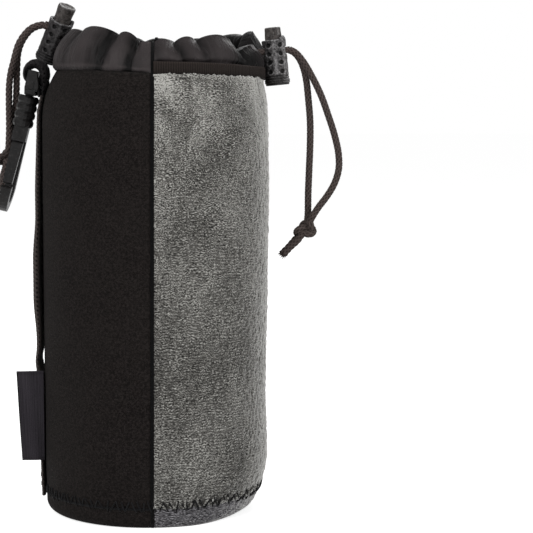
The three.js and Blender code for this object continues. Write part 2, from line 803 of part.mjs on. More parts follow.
// The hook's own outline: neck, back, bow and tip, with a shoulder over the gate's root
function hookOutline() {
  const windowTop = gatePivot.z + gateRound + GAP;
  const shape = new THREE.Shape();
  shape.moveTo(-neckHalf, gripBottom + HOOK_BAR / 2);
  shape.lineTo(-neckHalf, gripBottom);
  shape.lineTo(-flank(windowTop), windowTop);
  shape.lineTo(flank(windowTop) - HOOK_BAR, windowTop);
  shape.lineTo(bowInside, bowCentre);
  shape.absarc(0, bowCentre, bowInside, 0, -Math.PI, true);
  shape.absarc(-HOOK_RADIUS + HOOK_BAR / 2, bowCentre, HOOK_BAR / 2, 0, Math.PI);
  shape.absarc(0, bowCentre, HOOK_RADIUS, -Math.PI, 0);
  shape.lineTo(neckHalf, gripBottom);
  shape.lineTo(neckHalf, gripBottom + HOOK_BAR / 2);
  shape.closePath();
  return shape;
}

// Thins the hook from the grip to its tip, most of it near the tip
function thinHook(share) {
  return (point) => {
    const down = THREE.MathUtils.clamp((gripBottom - point.z) / (HOOK_LENGTH + gripBottom), 0, 1);
    const thickness = THREE.MathUtils.lerp(HOOK_THICKNESS, HOOK_TIP_THICKNESS, down ** 2);
    point.x *= (share * thickness) / HOOK_THICKNESS;
  };
}

function hookBody() {
  const blade = reshape(plate(hookOutline(), HOOK_THICKNESS), thinHook(1));
  return geometryOf(solid(hookGrip()).add(solid(blade)));
}

function hookGate() {
  const along = Math.atan2(gateEnd.z - gatePivot.z, gateEnd.y - gatePivot.y);
  const shape = new THREE.Shape();
  shape.absarc(gatePivot.y, gatePivot.z, gateRound, along + Math.PI / 2, along + (3 * Math.PI) / 2);
  shape.absarc(gateEnd.y, gateEnd.z, gateRound, along - Math.PI / 2, along + Math.PI / 2);
  shape.closePath();
  return geometryOf(solid(reshape(plate(shape, HOOK_THICKNESS), thinHook(GATE_THICKNESS_SHARE))));
}

// Materials

function finish(color, roughness, metalness = 0) {
  return new THREE.MeshStandardMaterial({ color, roughness, metalness });
}

const neoprene = finish(0x1e1b1a, 0.9);
const plush = finish(0x7d7c78, 1);
const nylon = finish(0x3a393b, 0.6);
const grosgrain = finish(0x2d2623, 0.8);
const thread = finish(0x141414, 0.9);
const braid = finish(0x322d2a, 0.9);
const lockPlastic = finish(0x4a494a, 0.5);
const hookPlastic = finish(0x201f21, 0.45);
const webbing = finish(0x232124, 0.85);
const satin = finish(0x28262a, 0.6);
const steel = finish(0xb0b2b4, 0.35, 1);

// Assembly

const pouch = new THREE.Group();

function add(name, geometry, material, group = pouch) {
  const mesh = new THREE.Mesh(geometry, material);
  mesh.name = name;
  group.add(mesh);
}

add('neoprene_shell', wallHalf(-1), neoprene);
add('plush_panel', wallHalf(1), plush);
add('lining_tube', liningTube(), plush);
add('lining_base', liningBase(), plush);
add('base_panel', basePanel(), neoprene);
add('base_seam', baseSeam(), thread);
add('front_seam_trim', seamTrim(-1), thread);
add('back_seam_trim', seamTrim(1), thread);

const frames = { left: leftLockFrame(), right: rightLockFrame() };
add('collar_left', collarHalf(-1, cordSlot(frames.left)), nylon);
add('collar_right', collarHalf(1, cordSlot(frames.right)), nylon);
add('binding_tape', bindingTape(), grosgrain);
add('back_channel_cord', channelCord(1), braid);
add('front_channel_cord', channelCord(-1), braid);

const cords = {
  left: {
    strands: { front: leftFrontRoute, back: leftBackRoute },
    knot: leftKnotPlace,
    tails: leftTailRoutes,
  },
  right: {
    strands: { inner: rightInnerRoute, outer: rightOuterRoute },
    knot: rightKnotPlace,
    tails: rightTailRoutes,
  },
};

for (const [side, frame] of Object.entries(frames)) {
  const lock = new THREE.Group();
  frame.decompose(lock.position, lock.quaternion, lock.scale);
  add(`${side}_lock_barrel`, lockBarrel(), lockPlastic, lock);
  add(`${side}_lock_plunger`, lockPlunger(), lockPlastic, lock);
  add(`${side}_lock_spring`, lockSpring(), steel, lock);
  add(`${side}_cord_nip`, cordNip(), braid, lock);
  pouch.add(lock);

  const free = new THREE.Group();
  free.position.set(BARREL_RADIUS + GAP + CORD_DIAMETER / 4, 0, 0).applyMatrix4(frame);
  for (const [strand, route] of Object.entries(cords[side].strands)) {
    add(`${side}_cord_${strand}`, cordStrand(route), braid, free);
  }
  add(`${side}_cord_knot`, cordKnot(cords[side].knot, cords[side].tails), braid, free);
  pouch.add(free);
}

add('belt_strap', beltStrap(), webbing);
add('side_label', sideLabel(), satin);
add('hook_loop', hookLoop(), webbing);

const hook = new THREE.Group();
hook.position.copy(barPlace);
hook.rotation.y = radians(HOOK_TILT);
add('hook_eye', hookEye(), hookPlastic, hook);
add('hook_body', hookBody(), hookPlastic, hook);
add('hook_gate', hookGate(), hookPlastic, hook);
pouch.add(hook);

export default pouch;
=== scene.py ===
"""Looks of a padded drawstring lens pouch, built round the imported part. Metres, +Z up."""
import math

import bmesh
import bpy
import numpy as np
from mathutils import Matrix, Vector


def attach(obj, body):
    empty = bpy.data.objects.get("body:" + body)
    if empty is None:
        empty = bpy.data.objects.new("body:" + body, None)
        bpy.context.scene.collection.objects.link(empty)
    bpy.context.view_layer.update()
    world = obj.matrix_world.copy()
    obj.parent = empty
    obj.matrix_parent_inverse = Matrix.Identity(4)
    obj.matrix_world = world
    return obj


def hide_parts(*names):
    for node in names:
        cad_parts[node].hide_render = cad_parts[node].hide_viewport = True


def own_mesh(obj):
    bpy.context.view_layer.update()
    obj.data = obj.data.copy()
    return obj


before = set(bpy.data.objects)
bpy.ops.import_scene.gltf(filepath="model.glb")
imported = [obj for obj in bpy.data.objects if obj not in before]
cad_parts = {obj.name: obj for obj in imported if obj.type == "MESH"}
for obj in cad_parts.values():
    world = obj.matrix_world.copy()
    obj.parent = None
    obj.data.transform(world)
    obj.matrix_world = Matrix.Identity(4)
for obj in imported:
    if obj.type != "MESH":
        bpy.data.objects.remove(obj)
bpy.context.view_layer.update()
scene = bpy.context.scene

MM = 0.001
TAU = 2 * math.pi
rng = np.random.default_rng(11)


# Camera, at the photograph's place

camera = bpy.data.objects.new("camera", bpy.data.cameras.new("camera"))
camera.data.sensor_width = 36
camera.data.lens = 114.59
camera.data.clip_end = 30
camera.location = (0.019, -0.760, 0.1748)
camera.rotation_euler = (math.pi / 2 - 0.08745, 0, -0.04041)
scene.collection.objects.link(camera)
scene.camera = camera


# Meshes: all shapes are given in millimetres

def smoothstep(x, low, high):
    """0 up to low, 1 from high on, and a soft rise between."""
    t = np.clip((np.asarray(x, float) - low) / (high - low), 0, 1)
    return t * t * (3 - 2 * t)


def polar(radius, bearing, z):
    radius, bearing, z = np.broadcast_arrays(radius, bearing, z)
    return np.stack([radius * np.cos(bearing), radius * np.sin(bearing), z], -1)


def hump(x, middle, spread):
    """A bell of height 1 about a middle."""
    return np.exp(-((x - middle) / spread) ** 2)


def rounded(over):
    """A quarter round: 1 up to its start, falling to 0 where over is 1."""
    return np.sqrt(np.maximum(0, 1 - np.maximum(0, over) ** 2))


def turn_from(turn, place, whole=TAU):
    """How far a turn lies from a place, the short way round."""
    return np.mod(turn - place + whole / 2, whole) - whole / 2


def run_along(line):
    """How far along a line each of its points lies."""
    return np.r_[0, np.cumsum(np.linalg.norm(np.diff(line, axis=0), axis=1))]


def beside(*grids):
    """Grids of the same stations, set side by side."""
    return np.concatenate(grids, 1)


def inward(grid, columns):
    """A few columns of a grid from the last to the first, for a hidden inner face."""
    return grid[:, ::grid.shape[1] // columns][:, ::-1]


class Shape:
    """Collects lofted surfaces, and makes one mesh piece of them."""

    def __init__(self):
        self.points, self.tones, self.faces, self.uvs = [], [], [], []
        self.count = 0

    def loft(self, grid, tone=0.5, closed=True, caps=True):
        """A surface through sections: grid is stations by section points by 3."""
        grid = np.asarray(grid, float)
        n, m = grid.shape[:2]
        start = self.count
        i, j = np.meshgrid(np.arange(n - 1), np.arange(m if closed else m - 1), indexing="ij")
        corners = [(i, j), (i, j + 1), (i + 1, j + 1), (i + 1, j)]
        quads = np.stack([a * m + b % m for a, b in corners], -1).reshape(-1, 4)
        self.faces += (quads + start).tolist()
        ring = beside(grid, grid[:, :1]) if closed else grid
        along = np.r_[0, np.cumsum(np.linalg.norm(np.diff(grid, axis=0), axis=2).mean(1))]
        across = np.r_[0, np.cumsum(np.linalg.norm(np.diff(ring, axis=1), axis=2).mean(0))]
        uv = np.stack([np.stack([along[a], across[b]], -1) for a, b in corners], 2)
        self.uvs.append(uv.reshape(-1, 2))
        if caps:
            for first in (start, start + (n - 1) * m):
                self.faces.append(list(range(first, first + m)))
                self.uvs.append(np.zeros((m, 2)))
        self.points.append(grid.reshape(-1, 3))
        self.tones.append(np.broadcast_to(tone, (n, m)).reshape(-1))
        self.count += n * m
        return self

    def piece(self, name, body, slot, material, replaces=(), weld=False):
        mesh = bpy.data.meshes.new(name)
        mesh.from_pydata((np.concatenate(self.points) * MM).tolist(), [], self.faces)
        layer = mesh.uv_layers.new(name="cloth")
        layer.uv.foreach_set("vector", np.concatenate(self.uvs).astype(np.float32).ravel())
        tone = mesh.attributes.new("tone", "FLOAT", "POINT")
        tone.data.foreach_set("value", np.concatenate(self.tones).astype(np.float32))
        form = bmesh.new()
        form.from_mesh(mesh)
        if weld:
            bmesh.ops.remove_doubles(form, verts=form.verts, dist=1e-6)
        bmesh.ops.recalc_face_normals(form, faces=form.faces)
        form.to_mesh(mesh)
        form.free()
        mesh.shade_smooth()
        mesh.materials.append(material)
        obj = bpy.data.objects.new(name, mesh)
        scene.collection.objects.link(obj)
        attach(obj, body)
        if replaces:
            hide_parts(*replaces)
        return obj


def spline(points, step):
    """A centripetal curve through points, resampled at even steps."""
    p = np.asarray(points, float)
    p = np.vstack([2 * p[0] - p[1], p, 2 * p[-1] - p[-2]])
    found = []
    for four in zip(p, p[1:], p[2:], p[3:]):
        t = np.r_[0, np.cumsum(np.linalg.norm(np.diff(four, axis=0), axis=1) ** 0.5)]
        u = np.linspace(t[1], t[2], 24, endpoint=False)[:, None]
        blends = list(four)
        for reach in (1, 2):
            blends = [((t[i + reach] - u) * a + (u - t[i]) * b) / (t[i + reach] - t[i])
                      for i, (a, b) in enumerate(zip(blends, blends[1:]))]
        share = (u - t[1]) / (t[2] - t[1])
        found.append(blends[0] + share * (blends[1] - blends[0]))
    return resample(np.vstack([*found, p[-2:-1]]), step)


def resample(line, step):
    line = np.asarray(line, float)
    s = run_along(line)
    at = np.linspace(0, s[-1], max(2, int(round(s[-1] / step)) + 1))
    return np.stack([np.interp(at, s, line[:, k]) for k in range(3)], 1)


def unit(v):
    return v / np.maximum(np.linalg.norm(v, axis=-1, keepdims=True), 1e-12)


def heading(line):
    return unit(np.gradient(line, axis=0))


def sides_of(line, towards=None):
    """Two directions square to a line at each of its points, carried along it without twist."""
    tangent = heading(line)
    if towards is not None:
        first = unit(towards - (towards * tangent).sum(1, keepdims=True) * tangent)
        return first, np.cross(tangent, first)
    side = np.cross(tangent[0], [0.3, 1, 0.2])
    first = []
    for t in tangent:
        side = unit(side - side.dot(t) * t)
        first.append(side)
    first = np.array(first)
    return first, np.cross(tangent, first)


def tube(line, radius, turn, towards=None):
    """Rings of points round a line."""
    first, second = sides_of(line, towards)
    return (line[:, None] + first[:, None] * (radius * np.cos(turn))[..., None]
            + second[:, None] * (radius * np.sin(turn))[..., None])


BRAID_STRANDS = 10
BRAID_PITCH = 2.2


def braid(shape, line, radius, towards=None, sides=20, depth=0.28, caps=True):
    """A round braided cord along an evenly spaced line."""
    turn = TAU * np.arange(sides) / sides
    round_it = BRAID_STRANDS / 2 * turn
    along = TAU * run_along(line)[:, None] / BRAID_PITCH
    height = np.maximum(np.cos(round_it + along), np.cos(round_it - along))
    grid = tube(line, radius - depth + depth * height, turn, towards)
    # Painted shade and light: the colour is darker in the grooves between strands and lighter on their
    # crests.
    return shape.loft(grid, tone=smoothstep(height, -0.6, 1), caps=caps)


def thread(shape, line, radius, sides=6, tone=0.5):
    return shape.loft(tube(line, radius, TAU * np.arange(sides) / sides), tone=tone)


# Materials

class Nodes:
    """The node tree of a material or world, and short ways to add to it."""

    def __init__(self, owner):
        owner.use_nodes = True
        self.tree = owner.node_tree

    def set(self, node, values):
        for key, value in values.items():
            if hasattr(value, "links"):
                self.tree.links.new(value, node.inputs[key])
            else:
                node.inputs[key].default_value = value

    def node(self, kind, out=0, settings=None, **values):
        """Adds a node. Sockets go by number, as in _0, or by name, with two underscores for a space."""
        node = self.tree.nodes.new(f"ShaderNode{kind}")
        for key, value in (settings or {}).items():
            setattr(node, key, value)
        self.set(node, {int(k[1:]) if k[0] == "_" else k.replace("__", " "): v for k, v in values.items()})
        return node.outputs[out] if node.outputs else None

    def math(self, operation, a, b=0.0):
        return self.node("Math", settings={"operation": operation}, _0=a, _1=b)

    def plus(self, a, b, share=None):
        """A sum, with only a share of the second value where one is given."""
        return self.math("ADD", a, b if share is None else self.times(b, share))

    def times(self, a, b):
        return self.math("MULTIPLY", a, b)

    def level(self, value, low, high, to_low=0.0, to_high=1.0):
        """A value's place from low to high, clamped and laid on another scale."""
        return self.node("MapRange", Value=value, From__Min=low, From__Max=high, To__Min=to_low,
                         To__Max=to_high)

    def span(self, value, low, high):
        return self.level(value, 0.0, 1.0, low, high)


class Look(Nodes):
    """A material with one Principled shader and the nodes that feed it."""

    def __init__(self, name, roughness, specular, sheen=(0.0, 0.5), metallic=0.0):
        self.material = bpy.data.materials.new(name)
        super().__init__(self.material)
        self.shader = self.tree.nodes["Principled BSDF"]
        self.set(self.shader, {"Roughness": roughness, "Specular IOR Level": specular, "Metallic": metallic,
                               "Sheen Weight": sheen[0], "Sheen Roughness": sheen[1]})

    def place(self):
        """Object coordinates in millimetres."""
        where = self.node("TexCoord", out="Object")
        return self.node("VectorMath", settings={"operation": "SCALE"}, _0=where, Scale=1 / MM)

    def cloth(self):
        """The cloth's own coordinates in millimetres: along and across."""
        uv = self.node("UVMap", settings={"uv_map": "cloth"})
        return [self.node("SeparateXYZ", out=axis, Vector=uv) for axis in "XY"]

    def tone(self):
        return self.node("Attribute", out="Fac", settings={"attribute_name": "tone"})

    def noise(self, scale, detail, vector=None, roughness=0.55):
        return self.node("TexNoise", Vector=vector or self.place(), Scale=scale, Detail=detail,
                         Roughness=roughness)

    def ramp(self, factor, *stops):
        node = self.tree.nodes.new("ShaderNodeValToRGB")
        for i, (at, colour) in enumerate(stops):
            spot = node.color_ramp.elements[i] if i < 2 else node.color_ramp.elements.new(at)
            spot.position = at
            spot.color = (*colour, 1)
        self.tree.links.new(factor, node.inputs[0])
        return node.outputs[0]

    def mix(self, factor, a, b):
        """One colour over another: the colours' sockets are 6 and 7."""
        return self.node("Mix", out=2, settings={"data_type": "RGBA"}, _0=factor, _6=a, _7=b)

    def wave(self, value, pitch):
        """A sine along a length, from -1 to 1, with its pitch in millimetres."""
        return self.math("SINE", self.times(value, TAU / pitch))

    def finish(self, colour, roughness, height=None, depth=0.0, strength=0.0):
        """Feeds the shader, with a relief if there is one, and gives the material."""
        self.set(self.shader, {"Base Color": colour, "Roughness": roughness})
        if height:
            normal = self.node("Bump", Height=height, Distance=depth * MM, Strength=strength)
            self.set(self.shader, {"Normal": normal})
        return self.material


def neoprene_look():
    look = Look("neoprene_knit", 0.9, 0.045, sheen=(0.015, 0.5))
    u, v = look.cloth()
    wale = look.wave(u, 0.9)
    course = look.wave(look.plus(v, look.math("ABSOLUTE", wale), 0.35), 0.8)
    knit = look.times(look.plus(wale, 1.4), course)
    cloud = look.noise(0.045, 4)
    fleck = look.noise(1.1, 3, roughness=0.7)
    base = look.ramp(cloud, (0.3, (0.005, 0.0041, 0.0038)), (0.7, (0.0082, 0.007, 0.0065)))
    colour = look.mix(look.span(fleck, -1.4, 2.1), base, (0.0205, 0.017, 0.016, 1))
    return look.finish(colour, look.span(cloud, 0.84, 0.96), look.plus(fleck, knit, 0.5), 0.16, 0.6)


# Pile: the pitch of its rows, and how far up the cloth they give way to looser nap
ROW_PITCH = 1.34
BRUSHED_FROM = (110.0, 160.0)


def plush_look(name, dark, middle, light):
    """Short dense pile: flecks in wavy rows over wandering strokes, with a painted sheen that lightens its
    outline.
    """
    look = Look(name, 0.95, 0.08, sheen=(0.6, 0.35))
    u, v = look.cloth()
    flat = look.node("CombineXYZ", X=u, Y=v)
    drift = look.node("TexNoise", out=1, Vector=flat, Scale=0.07, Detail=2.0)
    shift = look.node("VectorMath", settings={"operation": "MULTIPLY_ADD"}, _0=drift, _1=(7, 7, 0), _2=flat)

    def streak(scales, detail):
        grown = look.node("VectorMath", settings={"operation": "MULTIPLY"}, _0=shift, _1=scales)
        return look.noise(1.0, detail, grown, 0.6)

    turn = look.level(look.noise(0.06, 1, flat), 0.4, 0.6)
    fleck = look.node("Mix", _0=turn, _2=streak((1.1, 2.7, 1), 0), _3=streak((1.7, 2.5, 1), 0))
    stroke = streak((0.55, 0.4, 1), 2)
    waved = look.plus(v, look.noise(0.1, 2, flat), 5.0)
    waved = look.plus(waved, streak((0.9, 0.5, 1), 0), 1.3)
    held = look.level(streak((0.4, 0.6, 1), 1), 0.35, 0.65)
    brushed = look.level(v, *BRUSHED_FROM, 1.0, 0.5)
    rows = look.times(look.wave(waved, ROW_PITCH), look.times(held, brushed))
    gain = look.level(v, *BRUSHED_FROM, 1.5, 1.95)
    fine = look.times(look.plus(fleck, -0.49), gain)
    fine = look.plus(fine, look.plus(stroke, -0.5), 0.2)
    shade = look.plus(look.tone(), look.plus(fine, rows, 0.22))
    pile = look.ramp(shade, (0.1, dark), (0.92, light), (0.5, middle))
    # Painted sheen: towards the outline, where the pile turns from the view, the colour is mixed towards
    # pale grey as rim light.
    facing = look.node("LayerWeight", out=1, Blend=0.5)
    rim = look.level(facing, 0.3, 1.0, 0.0, 0.9)
    colour = look.mix(look.math("POWER", rim, 2.2), pile, (0.75, 0.74, 0.71, 1))
    return look.finish(colour, look.span(stroke, 0.88, 1.0), look.plus(fleck, rows, 0.5), 0.3, 0.8)


def nylon_look():
    look = Look("gathered_nylon", 0.42, 0.1, sheen=(0.02, 0.35))
    u, v = look.cloth()
    weave = look.times(look.wave(u, 0.5), look.wave(v, 0.5))
    crease = look.noise(0.13, 5, roughness=0.6)
    cloud = look.noise(0.06, 3)
    gathered = look.node("CombineXYZ", X=look.times(u, 0.16), Y=look.times(v, 0.05))
    ripple = look.math("ABSOLUTE", look.plus(look.noise(1.0, 2, gathered, 0.5), -0.5))
    wrinkle_and_highlight = look.level(ripple, 0.0, 0.07, 1.0, 0.0)
    # Painted shade and light: the tone carries the lobes' lighter crests and darker gathers.
    shade = look.plus(look.times(cloud, 0.5), look.tone(), 0.6)
    base = look.ramp(shade, (0.36, (0.0012, 0.001, 0.001)), (0.8, (0.0355, 0.0298, 0.0302)))
    # Painted highlight: the wrinkle lines are also made lighter in the colour.
    colour = look.mix(look.times(wrinkle_and_highlight, 0.14), base, (0.05, 0.044, 0.044, 1))
    relief = look.plus(crease, wrinkle_and_highlight, 0.5)
    return look.finish(colour, look.span(crease, 0.38, 0.6), look.plus(relief, weave, 0.04), 1.0, 0.6)


def tape_look(name, dark, light, pitch, roughness=0.75):
    """Tape, webbing, cord and thread: the tone attribute holds the height of ribs and strands, so the
    colour carries painted shade in their grooves and painted light on their crests.
    """
    look = Look(name, roughness, 0.1, sheen=(0.04, 0.4))
    u, v = look.cloth()
    pick = look.times(look.wave(u, pitch), look.wave(v, pitch))
    fuzz = look.noise(2.2, 3)
    shade = look.plus(look.times(look.tone(), 0.65), fuzz, 0.5)
    colour = look.ramp(shade, (0.15, dark), (0.85, light))
    worn = look.span(fuzz, roughness - 0.08, roughness + 0.12)
    return look.finish(colour, worn, look.plus(fuzz, pick, 0.5), 0.15, 0.6)


def plastic_look(name, dark, light, worn, specks):
    """Moulded plastic: the tone attribute runs from 0 in hollows, painted dark as shade, over 0.5 to 1 on
    worn edges and painted highlights, which take the worn colour in patches.
    """
    look = Look(name, 0.5, 0.16)
    cloud = look.noise(0.5, 5, roughness=0.7)
    fleck = look.noise(1.3, 4, roughness=0.75)
    base = look.ramp(cloud, (0.4, dark), (0.6, light))
    speck = look.ramp(fleck, (0.52, (0, 0, 0)), (0.66, (specks, specks, specks)))
    speckled = look.mix(speck, base, (*worn, 1))
    # Wear and painted highlight: where the tone is high, patches take the worn colour.
    rub = look.times(look.level(look.tone(), 0.55, 1.0), look.level(look.noise(1.0, 4), 0.36, 0.62))
    # Painted shade: where the tone is low, the hollows go towards black.
    hollow_shade = look.level(look.tone(), 0.5, 0.1)
    colour = look.mix(hollow_shade, look.mix(rub, speckled, (*worn, 1)), (0.0012, 0.0012, 0.0013, 1))
    return look.finish(colour, look.span(look.noise(0.5, 4), 0.4, 0.64), look.plus(fleck, cloud), 0.3, 0.5)


def moulded_look():
    """The hook's plastic, smooth and a little scuffed."""
    look = Look("hook_plastic_black", 0.4, 0.2)
    cloud = look.noise(0.3, 4)
    scuff = look.noise(0.9, 5, roughness=0.7)
    base = look.ramp(cloud, (0.3, (0.0024, 0.0021, 0.0021)), (0.7, (0.0105, 0.0096, 0.0096)))
    rub = look.ramp(scuff, (0.54, (0, 0, 0)), (0.72, (0.45, 0.45, 0.45)))
    colour = look.mix(rub, base, (0.055, 0.052, 0.052, 1))
    return look.finish(colour, look.span(scuff, 0.3, 0.52), look.noise(2.4, 2), 0.08, 0.4)


def steel_look():
    look = Look("spring_wire", 0.32, 0.5, metallic=1.0)
    drawn = look.noise(0.8, 3)
    colour = look.ramp(drawn, (0.3, (0.36, 0.36, 0.37)), (0.7, (0.5, 0.5, 0.51)))
    return look.finish(colour, look.span(drawn, 0.25, 0.42))


NEOPRENE = neoprene_look()
PLUSH = plush_look("grey_plush", (0.009, 0.0088, 0.008), (0.0905, 0.0872, 0.0808), (0.37, 0.366, 0.342))
# Painted shade: the base's plush is a darker, cooler copy of the wall's, for its edge that turns under.
SHADED_BASE_PLUSH = plush_look("base_plush_shaded", (0.012, 0.0118, 0.013), (0.082, 0.079, 0.085), (0.3, 0.292, 0.305))
NYLON = nylon_look()
GROSGRAIN = tape_look("grosgrain_tape", (0.0034, 0.0026, 0.0023), (0.026, 0.0195, 0.017), 0.45)
WEBBING = tape_look("woven_webbing", (0.002, 0.0019, 0.002), (0.019, 0.017, 0.018), 0.6)
LABEL = tape_look("label_cloth_bare", (0.005, 0.0043, 0.0053), (0.042, 0.0365, 0.0445), 0.4, 0.6)
THREAD = tape_look("sewing_thread", (0.002, 0.002, 0.0024), (0.014, 0.0138, 0.0145), 0.3, 0.7)
TRIM = tape_look("seam_tape", (0.0004, 0.0004, 0.0005), (0.0018, 0.0018, 0.002), 0.4, 0.85)
# The strap's webbing is browner than the loop's, and its colours are raised further as painted light, to
# lift the shade on its inner face.
STRAP = tape_look("strap_webbing", (0.011, 0.009, 0.0085), (0.068, 0.056, 0.052), 0.6)
CORD = tape_look("braided_cord", (0.0026, 0.002, 0.0018), (0.077, 0.06, 0.055), 0.4)
LOCK = plastic_look("lock_plastic_grey", (0.005, 0.0045, 0.0046), (0.034, 0.0315, 0.032),
                    (0.27, 0.262, 0.265), 0.42)
# Painted shade: a darker, less speckled copy of the lock plastic for the left lock, which is in shade.
SHADED_LOCK = plastic_look("lock_plastic_shaded", (0.006, 0.0054, 0.0055), (0.03, 0.0275, 0.0285),
                    (0.16, 0.155, 0.158), 0.22)
BUTTON = plastic_look("button_plastic", (0.018, 0.0155, 0.0143), (0.058, 0.051, 0.0475),
                      (0.26, 0.25, 0.245), 0.25)
BARREL_LOOKS = {"right": LOCK, "left": SHADED_LOCK}
HOOK = moulded_look()
STEEL = steel_look()


# The pouch's own surfaces

FRONT = -math.pi / 2
BACK = math.pi / 2
BODY_RADIUS = 50
TOP_RADIUS = 48
BASE_RADIUS = 48
BASE_SEAM = 8.8
COLLAR_SEAM = 193.7
WALL_HEIGHT = 185
WALL_THICKNESS = 3.4
FOOT_ROUND = 4.5


def seam_height(x):
    """Height of the seam under the collar: it climbs to the left and falls a little to the right."""
    x = np.asarray(x, float)
    return COLLAR_SEAM - 0.055 * np.minimum(x, 0) - 0.0005 * np.maximum(x, 0) ** 2


def right_share(bearing):
    """0 on the neoprene side, 1 on the plush side, and between them at the front and back."""
    return smoothstep(np.cos(bearing), -0.45, 0.45)


def wall_radius(bearing, z):
    """Outer radius of the wall and of the turned-up base edge."""
    z = np.asarray(z, float)
    side = np.cos(bearing)
    share = right_share(bearing)
    left = BODY_RADIUS - (4 + 1.8 * np.minimum(side, 0) ** 2) * np.clip((z - 172) / 22, 0, 1.2) ** 2.2
    left -= 0.5 + FOOT_ROUND * (1 - rounded((FOOT_ROUND - z) / FOOT_ROUND))
    left += 0.5 * smoothstep(z, 4, 24)
    turn = np.clip((25 - z) / 25, 0, 1)
    corner = 5 + 5.5 * smoothstep(side, 0.3, 1)
    right = BODY_RADIUS - 3.2 * np.clip((z - 178) / 16, 0, 1.2) ** 2
    right -= corner * (1 - np.maximum(0, 1 - turn ** 1.6) ** 0.625)
    soft = 0.4 * np.sin(3 * bearing + 0.031 * z + 1.1) + 0.3 * np.sin(5 * bearing - 0.047 * z + 2.3)
    soft = soft * (1 - np.abs(side)) + 0.75 * np.cos(TAU * (z - 140) / 180) * share * np.abs(side)
    fade = smoothstep(z, 20, 50) * (1 - smoothstep(z, 168, 192))
    return left + (right - left) * share + soft * fade


def seam_place(z):
    """Sideways place of the front joint of the two halves: it leans a little."""
    return 0.0059 * np.asarray(z, float) - 0.9


def strokes(rows, columns, step, length, width, swirl):
    """Nap on a grid: noise smeared along a direction that wanders over the cloth, and a patchy cloud."""
    fx = np.fft.fftfreq(rows, step)[:, None]
    fz = np.fft.fftfreq(columns, step)
    spectrum = np.fft.fft2(rng.standard_normal((rows, columns)))

    def cloud(size):
        near = np.exp(-2 * (math.pi * size) ** 2 * (fx ** 2 + fz ** 2))
        found = np.fft.ifft2(np.fft.fft2(rng.standard_normal((rows, columns))) * near).real
        return found / found.std()

    angle = math.pi / 2 + swirl * cloud(9.0)
    nap, weight = 0, 0
    for k in range(8):
        a = math.pi * k / 8
        along, across = fx * math.cos(a) + fz * math.sin(a), fz * math.cos(a) - fx * math.sin(a)
        blur = np.exp(-2 * math.pi ** 2 * ((along * length) ** 2 + (across * width) ** 2))
        layer = np.fft.ifft2(spectrum * blur).real
        near = np.cos(angle - a) ** 16
        nap = nap + near * layer / layer.std()
        weight = weight + near ** 2
    return nap / np.sqrt(weight), cloud(7.0)


def wall_half(slot, low, high, front, step, pile, material, node):
    """Half of the padded wall between two bearings, front telling which of them, 0 or 1, is the front."""
    n = int((high - low) * BODY_RADIUS / step)
    m = int(WALL_HEIGHT / step)
    share = np.linspace(0, 1, n)[:, None]
    bearing = low + (high - low) * share
    top = seam_height(TOP_RADIUS * np.cos(bearing)) - (0.9 if pile else 0.3)
    z = BASE_SEAM + (top - BASE_SEAM) * np.linspace(0, 1, m)
    bearing = bearing + seam_place(z) / BODY_RADIUS * (1 - np.abs(share - front)) ** 4
    outer = wall_radius(bearing, z)
    tone = np.full((n, m), 0.5)
    if pile:
        nap, patch = strokes(n, m, step, 0.6, 0.28, 0.6)
        wide = strokes(n, m, step, 14.0, 9.0, 0.6)[0]
        # Painted light: the pile is made lighter towards the top of the wall, where its crushed nap also
        # shows more.
        up = smoothstep(z, 150, 190)
        crush = strokes(n, m, step, 7.0, 2.2, 0.35)[0]
        tone = 0.46 + 0.035 * nap + 0.02 * patch + 0.022 * wide + 0.12 * up + 0.075 * crush * up
        tone += 0.014 * crush * (1 - up)
        tone += 0.06 * hump(bearing, FRONT, 0.3) * smoothstep(z, 60, 130)
        tone += 0.02 * (1 - smoothstep(z, 30, 110))
        low_tuft = (1 - smoothstep(z, 10, 14)) * np.clip(nap, -1, 1.5)
        tone = np.clip(tone - 0.05 * (1 - smoothstep(z, 9, 22)) + 0.16 * low_tuft, 0, 1)
        outer = outer + pile * np.clip(0.14 * nap + 0.15 * patch, -0.9, 1.1) + 0.3 * low_tuft
        tuft = np.clip(strokes(n, m, step, 0.5, 0.4, 0.3)[0][:, :1], -1, 2)
        z = z + (0.35 + 0.25 * tuft) * smoothstep(z, top - 1.2, top)
        # Painted highlight: the tufts of the top fringe are made lighter.
        tone = tone + 0.12 * smoothstep(z, top - 2.5, top)
        outer = outer + 0.5 * smoothstep(z, top - 2.0, top - 0.5)
    inner_bearing, inner_z = inward(bearing, 8), inward(z, 8)
    inner = wall_radius(inner_bearing, inner_z) - WALL_THICKNESS
    grid = beside(polar(outer, bearing, z), polar(inner, inner_bearing, inner_z))
    tones = beside(tone, np.full(inner.shape, 0.3))
    obj = Shape().loft(grid, tones).piece(f"{slot}_wall", "pouch", slot, material, [node])


# Half the width of the joint between the wall's halves, as a bearing
EDGE = 0.4 / BODY_RADIUS
wall_half("neoprene", BACK + EDGE, FRONT + TAU - EDGE, 1, 1.4, 0, NEOPRENE, "neoprene_shell")
wall_half("plush", FRONT + EDGE, BACK - EDGE, 0, 0.56, 0.6, PLUSH, "plush_panel")


LINING_RADIUS = 44
LINING_FOOT = 6.6
LINING_FLOOR = 6.2
LINING_UNDERSIDE = 4.1
LINING_FACE_DEPTH = 6.2
LINING_BACK_DEPTH = 4.3


